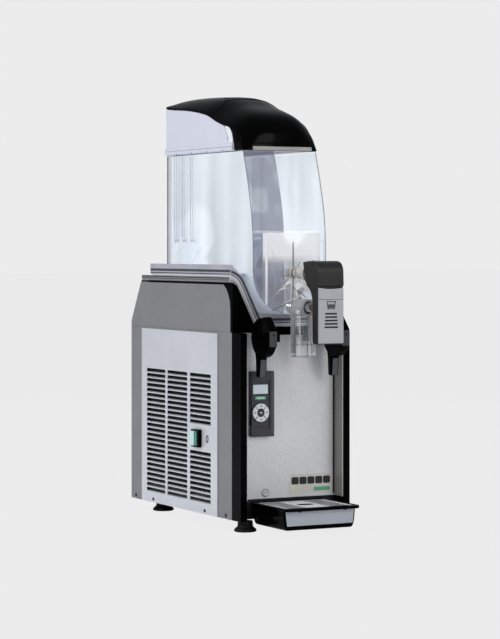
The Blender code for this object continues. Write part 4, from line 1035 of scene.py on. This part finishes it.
# ---------------------------------------------------------------- handle
def build_post():
    """Bell-shaped post on the bowl's front, with the forked tongue that carries the lever."""
    low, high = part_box("handle_post")
    back = high.y
    profile = [(0, 0), (0.0105, 0), (0.011, 0.0012), (0.0085, 0.003), (0.008, 0.008), (0.0088, 0.014),
               (0.0102, 0.019), (0.0108, 0.0225), (0.0104, 0.0236), (0, 0.0236)]
    bell = lathe("bell_post", [(r, back - d) for r, d in profile], "y", AXIS, "bell")
    profile = [(0.008, 0.0092), (0.0096, 0.0098), (0.01, 0.011), (0.0096, 0.0122), (0.008, 0.0128)]
    ring = lathe("ring", [(r, back - d) for r, d in profile], "y", AXIS, "brown_plastic")
    fork = box("fork", (-0.007, low.y, AXIS_Z - 0.01), (0.007, back - 0.021, AXIS_Z + 0.01), "bell",
               0.0015, 2)
    carve(fork, rod("cutter", 0.0034, "x", (0, low.y + 0.007, AXIS_Z), -0.02, 0.02))
    place(fuse(bell, ring, fork), "bowl", "silver_plate", "handle_post")


def build_lever():
    """Hooded lever, cut off on a slant at the back, on a bell-shaped neck with a collar."""
    low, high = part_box("tap_handle")
    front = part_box("handle_plate")[0].y
    top = smooth_line([(front, 0.4763), (front + 0.0008, 0.495), (front + 0.002, 0.508),
                       (front + 0.008, 0.5185), (front + 0.022, 0.5236), (-0.34, 0.523), (-0.315, 0.52),
                       (-0.29, 0.5165)], 5)
    boss = [(-0.272, 0.514), (high.y, 0.51), (high.y, 0.49), (-0.272, 0.4862)]
    under = smooth_line([(-0.303, 0.484), (-0.325, 0.4815), (front + 0.046, 0.4765), (front + 0.034, 0.468),
                         (front + 0.0265, 0.456), (front + 0.024, 0.44)], 5)
    tail = [(front + 0.024, 0.374), (front + 0.0205, low.z), (front + 0.0042, low.z), (front + 0.0035, 0.369),
            (front + 0.0035, 0.4763)]
    lever = prism("lever", top + boss + under + tail, "x", -0.028, 0.028, "brown_black", 0.0048, 4, 40)
    slant = [(-0.327, 0.56), (-0.33, 0.518), (-0.345, 0.47), (-0.345, 0.44), (-0.25, 0.44), (-0.25, 0.56)]
    carve(lever, prism("cutter", slant, "x", -0.04, 0.04))
    rounded(lever, 0.0016, 3, 60)
    profile = [(0, -0.27), (0.0112, -0.27), (0.0122, -0.2712), (0.014, -0.286), (0.0172, -0.301),
               (0.0205, -0.315), (0.0228, -0.325), (0.0232, -0.346), (0, -0.346)]
    neck = lathe("neck", profile, "y", AXIS, "bell")
    carve(neck, box("cutter", (-0.0078, -0.301, 0.44), (0.0078, -0.25, 0.56)))
    profile = [(0.019, -0.3212), (0.024, -0.3218), (0.0246, -0.3235), (0.024, -0.3256), (0.019, -0.326)]
    collar = lathe("collar", profile, "y", AXIS, "brown_plastic")
    pin = rod("pin", 0.0032, "x", (0, -0.286, AXIS_Z), -0.015, 0.015, "aluminium")
    place(fuse(lever, neck, collar, pin), "tap_handle", "brown_black", "tap_handle")


PLATE_SLOTS = 5
PLATE_SLOT_PITCH = 0.0064
PLATE_FIRST_Z = 0.3985


def build_handle_plate():
    """Silver face of the lever: a dip in its top edge, a seam, slots and a plain cup mark."""
    low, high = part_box("handle_plate")
    left, right, front = low.x - 0.0012, high.x + 0.0012, low.y
    dip = smooth_line([(right - 0.0012, high.z), (0.012, high.z - 0.0016), (0, high.z - 0.0022),
                       (-0.012, high.z - 0.0016), (left + 0.0012, high.z)], 4)
    outline = arc((left + 0.0015, low.z + 0.0015), 0.0015, 180, 270, 4)
    outline += arc((right - 0.0015, low.z + 0.0015), 0.0015, 270, 360, 4)
    outline += [(right, high.z - 0.0008), *dip, (left, high.z - 0.0008)]
    plate = prism("plate", outline, "y", front, high.y, "silver_plate")
    cutters = []
    fills = []
    for row in range(PLATE_SLOTS):
        half = 0.0148 - row * 0.0005
        z = PLATE_FIRST_Z + row * PLATE_SLOT_PITCH
        cutters.append(slab("cutter", "y", (-half, front - 0.005, z - 0.0017),
                            (half, front + 0.0016, z + 0.0017), 0.0008))
        # dark fills in the slots: painted shade
        fills.append(box("fill", (0.0003 - half, front + 0.001, z - 0.0016),
                         (half - 0.0003, front + 0.002, z + 0.0016), "mark_dark"))
    cutters.append(box("cutter", (left - 0.01, front - 0.01, 0.4508), (right + 0.01, front + 0.0004, 0.4516)))
    rounded(carve(plate, *cutters), 0.0004, 2, 50)
    cup = [(-0.008, 0.4325), (0.008, 0.4325), (0.0098, 0.448), (-0.0098, 0.448)]
    inner = [(-0.0064, 0.4342), (0.0064, 0.4342), (0.0079, 0.4463), (-0.0079, 0.4463)]
    icon = prism("icon", cup, "y", front - 0.0003, front + 0.001, "latch_face")
    carve(icon, prism("cutter", inner, "y", front - 0.01, front + 0.01))
    level = box("level", (-0.0068, front - 0.0002, 0.435), (0.0068, front + 0.001, 0.442), "latch_face")
    seam = box("seam", (left + 0.0006, front + 0.0001, 0.4506), (right - 0.0006, front + 0.0006, 0.4518),
               "mark_dark")
    place(fuse(plate, icon, level, seam, *fills), "tap_handle", "silver_plate", "handle_plate")


# ---------------------------------------------------------------- latches
LATCH_PIVOT = Vector((0, -0.269, 0.376))
LATCH_RADIUS = 0.038


def build_latch(tag):
    """Cam disc with a flat front face and a lever tail, which carries a pale edge."""
    low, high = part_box(f"latch_{tag}")
    y, z = LATCH_PIVOT.yz
    front = low.y
    outline = arc((front + 0.004, z - 0.014), 0.004, 220, 180, 4)
    outline += [(front, z + 0.013), (front + 0.0015, z + 0.0165), (y - 0.0165, high.z - 0.0025)]
    outline += arc((y - 0.012, high.z - 0.004), 0.004, 130, 80, 4)
    outline += arc((y, z), LATCH_RADIUS, 95, -55, 40)
    outline += [(y + 0.0195, 0.332), (y + 0.0178, 0.303), (y + 0.016, low.z)]
    outline += [(y + 0.0085, low.z), (y + 0.007, 0.303), (y + 0.0045, 0.336)]
    outline += arc((y, z), LATCH_RADIUS, -98, -150, 16)
    latch = prism("latch", outline, "x", low.x, high.x, "gloss_black")
    carve(latch, rod("cutter", 0.0045, "x", LATCH_PIVOT, low.x - 0.01, high.x + 0.01, edge=0.0001))
    rounded(latch, 0.0018, 3, 50)
    face = box("face", (low.x + 0.0008, front - 0.0003, z - 0.0165),
               (high.x - 0.0008, front + 0.0015, z + 0.013), "charcoal", 0.0005, 2)
    # dark disc standing for a hole: painted shade
    profile = [(0, 0), (0.0021, 0), (0.0021, 0.001), (0, 0.001)]
    hole = lathe("hole", profile, "y", ((low.x + high.x) / 2, front - 0.0004, z + 0.0055), "painted_shade_dark", 24)
    edge = [(y + 0.0064, low.z + 0.0008), (y + 0.0052, 0.303), (y + 0.0024, 0.333), (y + 0.0036, 0.3335),
            (y + 0.0066, 0.303), (y + 0.008, low.z + 0.0008)]
    tail = prism("tail", edge, "x", low.x + 0.003, high.x - 0.003, "latch_face", 0.0004, 2)
    place(fuse(latch, face, hole, tail), f"latch_{tag}", "gloss_black", f"latch_{tag}")


# ---------------------------------------------------------------- lid
LID_HALF_WIDTH = 0.0835
LID_WALL = 0.0025
LID_CURVE = 3.2  # how square the cover's cross-section is
LID_STEPS = 5
LID_STATIONS = (
    # low edge (y, z), side edge (y, z), ridge (y, z)
    (0.16, 0.8375, 0.16, 0.842, 0.161, 0.851),
    (0.126, 0.834, 0.126, 0.838, 0.13, 0.8575),
    (0.05, 0.828, 0.05, 0.832, 0.045, 0.8575),
    (-0.022, 0.817, -0.022, 0.821, -0.033, 0.852),
    (-0.067, 0.802, -0.067, 0.807, -0.092, 0.834),
    (-0.128, 0.782, -0.132, 0.789, -0.16, 0.812),
    (-0.146, 0.758, -0.162, 0.771, -0.189, 0.78),
    (-0.15, 0.7412, -0.185, 0.7412, -0.1925, 0.7412),
)


LID_EMBOSS = (
    # raised line: place across the cover from -1 to 1, stations back from its front edge
    (-0.86, 17), (-0.82, 18), (-0.6, 20), (0.6, 20), (0.82, 18), (0.86, 17), (0.9, 3), (-0.9, 3),
)


def lid_point(station, u):
    """Point of the domed cover at u from -1 (left) to 1 (right)."""
    _, _, side_y, side_z, ridge_y, ridge_z = station
    blend = 1 - abs(u) ** LID_CURVE
    return (u * LID_HALF_WIDTH, side_y + (ridge_y - side_y) * blend, side_z + (ridge_z - side_z) * blend)


def on_lid(stations, u, s, lift):
    """Point on the cover at a fractional station, pushed out by a small lift."""
    k = min(int(s), len(stations) - 2)
    a, b = Vector(lid_point(stations[k], u)), Vector(lid_point(stations[k + 1], u))
    point = a.lerp(b, s - k)
    across = Vector(lid_point(stations[k], min(u + 0.01, 1))) - Vector(lid_point(stations[k], u - 0.01))
    out = across.cross(b - a).normalized()
    return point + (out if out.z > 0 or out.y < 0 and out.z > -0.5 else -out) * lift


def lid_shell(stations, across=40):
    data = bmesh.new()
    rows = []
    for station in stations:
        row = [(-LID_HALF_WIDTH, station[0], station[1])]
        row += [lid_point(station, -1 + 2 * i / across) for i in range(across + 1)]
        row += [(LID_HALF_WIDTH, station[0], station[1])]
        rows.append([data.verts.new(point) for point in row])
    for first, second in zip(rows, rows[1:]):
        for i in range(len(first) - 1):
            data.faces.new((first[i], first[i + 1], second[i + 1], second[i]))
    cover = finish("lid_shell", data, "lid_black")
    if cover.data.polygons[len(cover.data.polygons) // 2].normal.z < 0:
        cover.data.flip_normals()
    skin = cover.modifiers.new("Thickness", "SOLIDIFY")
    skin.thickness = 0.0022
    skin.offset = -1.0
    return rounded(bake(cover), 0.0009, 2, 55)


def build_lid():
    stations = smooth_line(LID_STATIONS, LID_STEPS)
    cover = lid_shell(stations)
    border = [(u, len(stations) - back) for u, back in LID_EMBOSS]
    line = []
    for (u0, s0), (u1, s1) in zip(border, border[1:]):
        parts = max(2, int(max(abs(u1 - u0) * 16, abs(s1 - s0) * 2)))
        for i in range(parts):
            line.append(on_lid(stations, u0 + (u1 - u0) * i / parts, s0 + (s1 - s0) * i / parts, 0.0001))
    emboss = tube("emboss", line, 0.0009, "lid_black", 10)
    line = [on_lid(stations, u / 20 * 0.62 - 0.05, 14 + 0.25 * abs(u) / 10, -0.0002) for u in range(-14, 21)]
    crease = tube("crease", line, 0.001, "lid_black", 10)
    place(fuse(cover, emboss, crease), "lid", "gloss_black", "lid_cover")
    build_lid_frame(stations)
    build_lid_front()


def build_lid_frame(stations):
    """Pale sides and rear under the black cover, with a stepped rim band and painted highlight tabs at the
    front.
    """
    low_line = [(s[0], s[1] - GAP) for s in stations[:-8]]
    outline = [(0.16, LID_Z), *low_line, (-0.1455, 0.76), (-0.1455, LID_Z)]
    walls = prism("lid_walls", outline, "x", -LID_HALF_WIDTH, LID_HALF_WIDTH, "lid_white", 0.0012, 2, 60)
    half = LID_HALF_WIDTH - LID_WALL
    inside = [(0.1575, 0.73), (0.1575, 0.87), (-0.142, 0.87), (-0.142, 0.73)]
    carve(walls, prism("cutter", inside, "x", -half, half))
    inside = [(-half, -0.16), (half, -0.16), (half, 0.1575), (-half, 0.1575)]
    details = []
    for bottom, top, grow in ((0.7412, 0.7478, 0.003), (0.7486, 0.755, 0.0022)):
        wide = LID_HALF_WIDTH + grow
        rim = slab("band", "z", (-wide, -0.145, bottom), (wide, 0.1605 + grow, top),
                   (0.0006, 0.0006, 0.004, 0.004), "lid_white", 0.0008, 50)
        details.append(carve(rim, prism("cutter", inside, "z", 0.73, 0.77)))
    for a, b in twin(LID_HALF_WIDTH + 0.0012, LID_HALF_WIDTH + 0.0032):
        for y in (-0.105, -0.035, 0.035, 0.105):
            details.append(box("notch", (a, y - 0.0008, 0.7408), (b, y + 0.0008, 0.744), "latch_face"))
    # front tabs: painted highlights on the rounded front corners of the side panels
    front = [(-0.112, 0.7905), (-0.13, 0.786), (-0.14, 0.776), (-0.1445, 0.766), (-0.1462, 0.756)]
    tab = smooth_line(front, 5) + [(-0.13, 0.756), (-0.124, 0.77), (-0.115, 0.785)]
    line = smooth_line([(-0.106, 0.793), (-0.113, 0.786), (-0.121, 0.772), (-0.1245, 0.761)], 5)
    for side, (a, b) in zip((-1, 1), twin(LID_HALF_WIDTH - 0.0006, LID_HALF_WIDTH + 0.0016)):
        x = side * (LID_HALF_WIDTH + 0.0002)
        details.append(prism("tab", tab, "x", a, b, "painted_highlight_white", 0.0006, 2, 50))
        details.append(tube("line", [(x, y, z) for y, z in line], 0.0009, "charcoal"))
    place(fuse(walls, *details), "lid", "lid_white", "lid_frame")


def build_lid_front():
    """Grey strip along the cover's front edge and the black lips behind it."""
    front, back = -0.194, -0.1894
    outline = [(front, 0.7402), (front + 0.001, 0.7478), (back, 0.7478), (back, 0.7402)]
    strip = prism("front_strip", outline, "x", -0.063, 0.067, "strip_grey", 0.0008, 2)
    place(strip, "lid", "lid_white")
    lip = box("lid_front_lip", (-0.079, -0.1875, 0.7396), (0.079, -0.18, 0.7414), "lid_black", 0.0005, 2)
    ends = [box("lip", (a, -0.185, 0.7398), (b, -0.15, 0.7414), "lid_black")
            for a, b in ((-0.081, -0.063), (0.067, 0.081))]
    place(fuse(lip, *ends), "lid", "lid_white")


# ---------------------------------------------------------------- drip tray
TRAY_WELL = ((-0.07, -0.341), (0.07, -0.228))
GRID_ROWS = 7
GRID_PITCH = 0.0162
GRID_FIRST_Y = -0.336
GRID_CENTRE_Y = -0.2875


def tray_cutter(bottom, low=TRAY_WELL[0], high=TRAY_WELL[1], corner=0.008):
    return slab("cutter", "z", (*low, bottom), (*high, 0.07), corner)


def build_tray():
    low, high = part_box("drip_tray")
    section = smooth_line([(-0.079, 0.05), (-0.0772, 0.03), (-0.0745, 0.017), (-0.07, low.z)], 3)
    body = prism("tray_body", both(section), "y", -0.345, high.y, "gloss_black", 0.0028, 4, 45)
    carve(body, tray_cutter(0.016))
    front_y = low.y + 0.01
    outline = [(-high.x, high.y), *arc((-high.x + 0.01, front_y), 0.01, 180, 270, 8),
               *arc((high.x - 0.01, front_y), 0.01, 270, 360, 8), (high.x, high.y)]
    rim = prism("rim", outline, "z", 0.049, high.z, "gloss_black", 0.0018, 4, 45)
    carve(rim, tray_cutter(0.0507, (-0.0763, -0.3503), (0.0763, -0.2247), 0.004), tray_cutter(0.046))
    place(fuse(body, rim), "drip_tray", "gloss_black", "drip_tray")

    low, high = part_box("tray_plate")
    face = [(-0.0715, low.z), (0.0715, low.z), (0.075, high.z)]
    for x in (0.056, -0.044):
        face += [(x + 0.004, high.z), *arc((x, high.z - 0.0002), 0.003, 0, -180, 6), (x - 0.004, high.z)]
    face.append((-0.075, high.z))
    plate = prism("tray_front_plate", face, "y", low.y, high.y, "tray_silver", 0.0004, 2, 50)
    place(plate, "drip_tray", "silver_plate", "tray_plate")


def build_grid():
    """Slotted grid with an oval hole in the middle. Its cut edges are painted dark as shade in the slots."""
    grid = slab("grid", "z", *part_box("tray_grid"), 0.0036, "grid_steel")
    cutters = []
    for a, b in twin(0.0255, 0.0665):
        for row in range(GRID_ROWS):
            y = GRID_FIRST_Y + row * GRID_PITCH
            cutters.append(slab("cutter", "z", (a, y - 0.0052, 0.04), (b, y + 0.0052, 0.06), 0.0036))
    oval = arc((0.006, GRID_CENTRE_Y), 0.011, -90, 90, 14) + arc((-0.006, GRID_CENTRE_Y), 0.011, 90, 270, 14)
    cutters.append(prism("cutter", oval, "z", 0.04, 0.06))
    rounded(carve(grid, fuse(*cutters)), 0.0004, 2, 50)
    # slot walls painted dark: painted shade
    grid.data.materials.append(LOOKS["painted_shade_dark"])
    for face in grid.data.polygons:
        if abs(face.normal.z) < 0.5:
            face.material_index = 1
    place(grid, "tray_grid", "stainless", "tray_grid")


# ---------------------------------------------------------------- studio
CAMERA_TURN = math.radians(27.65)
CAMERA_AWAY = 4.6846
CAMERA_ASIDE = 0.0268
CAMERA_HEIGHT = 0.5518
LENS = 165.17
SHIFT_DOWN = -0.1465
BACKDROP = (0.838, 0.838, 0.838, 1)


def build_camera():
    ahead = Vector((math.sin(CAMERA_TURN), math.cos(CAMERA_TURN), 0))
    aside = Vector((math.cos(CAMERA_TURN), -math.sin(CAMERA_TURN), 0))
    data = bpy.data.cameras.new("camera")
    data.sensor_fit = "HORIZONTAL"
    data.lens = LENS
    data.shift_y = SHIFT_DOWN
    data.clip_end = 60
    camera = bpy.data.objects.new("camera", data)
    camera.location = CAMERA_ASIDE * aside - CAMERA_AWAY * ahead + Vector((0, 0, CAMERA_HEIGHT))
    camera.rotation_euler = (math.pi / 2, 0, -CAMERA_TURN)
    bpy.context.scene.collection.objects.link(camera)
    bpy.context.scene.camera = camera


def area_light(name, place_at, aim_z, size, power, reflected=True):
    """Square light aimed at the machine. It may stay out of reflections."""
    data = bpy.data.lights.new(name, "AREA")
    data.shape = "RECTANGLE"
    data.size = data.size_y = size
    data.energy = power
    lamp = bpy.data.objects.new(name, data)
    lamp.location = place_at
    lamp.rotation_euler = (Vector((0, 0, aim_z)) - Vector(place_at)).to_track_quat("-Z", "Y").to_euler()
    lamp.visible_glossy = reflected
    bpy.context.scene.collection.objects.link(lamp)


def build_floor():
    """Pale floor that looks evenly lit to the camera and still takes a faint shadow."""
    tree, surface, where = blank("studio_floor")
    base = tint(tree, (0.84, 0.84, 0.84), spread(tree, noise(tree, where, 3, 2), 0.997, 1.003))
    shader = add(tree, "BsdfPrincipled", Base_Color=base, Roughness=0.9, Specular_IOR_Level=0.1)
    glow = add(tree, "Emission", Color=BACKDROP, Strength=1.0)
    share = maths(tree, "MULTIPLY", add(tree, "LightPath").outputs["Is Camera Ray"], 0.975)
    mixed = add(tree, "MixShader", Fac=share, i1=shader.outputs[0], i2=glow.outputs[0])
    tree.links.new(mixed.outputs[0], surface)
    data = bmesh.new()
    bmesh.ops.create_grid(data, x_segments=2, y_segments=2, size=40)
    finish("studio_floor", data, "studio_floor", smooth=False)


def build_world():
    world = bpy.data.worlds.new("studio")
    world.use_nodes = True
    bpy.context.scene.world = world
    tree = world.node_tree
    tree.nodes.clear()
    out = tree.nodes.new("ShaderNodeOutputWorld")
    seen = add(tree, "Background", Color=BACKDROP, Strength=1.0)
    fill = add(tree, "Background", Color=(0.9, 0.93, 1.0, 1), Strength=0.36)
    near = add(tree, "LightPath").outputs["Is Camera Ray"]
    mixed = add(tree, "MixShader", Fac=near, i1=fill.outputs[0], i2=seen.outputs[0])
    tree.links.new(mixed.outputs[0], out.inputs[0])


def build_studio():
    build_floor()
    build_world()
    area_light("key_light", (-2.6, -0.6, 2.0), 0.45, 1.8, 44)
    area_light("front_light", (0.6, -3.2, 1.6), 0.4, 1.6, 34)
    area_light("top_light", (0.2, 0.4, 3.0), 0.6, 2.2, 20, reflected=False)
    area_light("rear_light", (1.6, 2.6, 1.8), 0.5, 1.6, 26, reflected=False)
    bpy.context.scene.view_settings.view_transform = "Standard"
    build_camera()


def main():
    make_looks()
    paint_frame()
    for tag, side in (("left", -1), ("right", 1)):
        build_side(tag, side)
        build_latch(tag)
    build_switch()
    build_controls()
    build_front_details()
    build_feet()
    build_deck()
    build_bowl()
    build_auger()
    build_tap()
    build_piston()
    build_post()
    build_lever()
    build_handle_plate()
    build_lid()
    build_tray()
    build_grid()
    build_studio()


main()
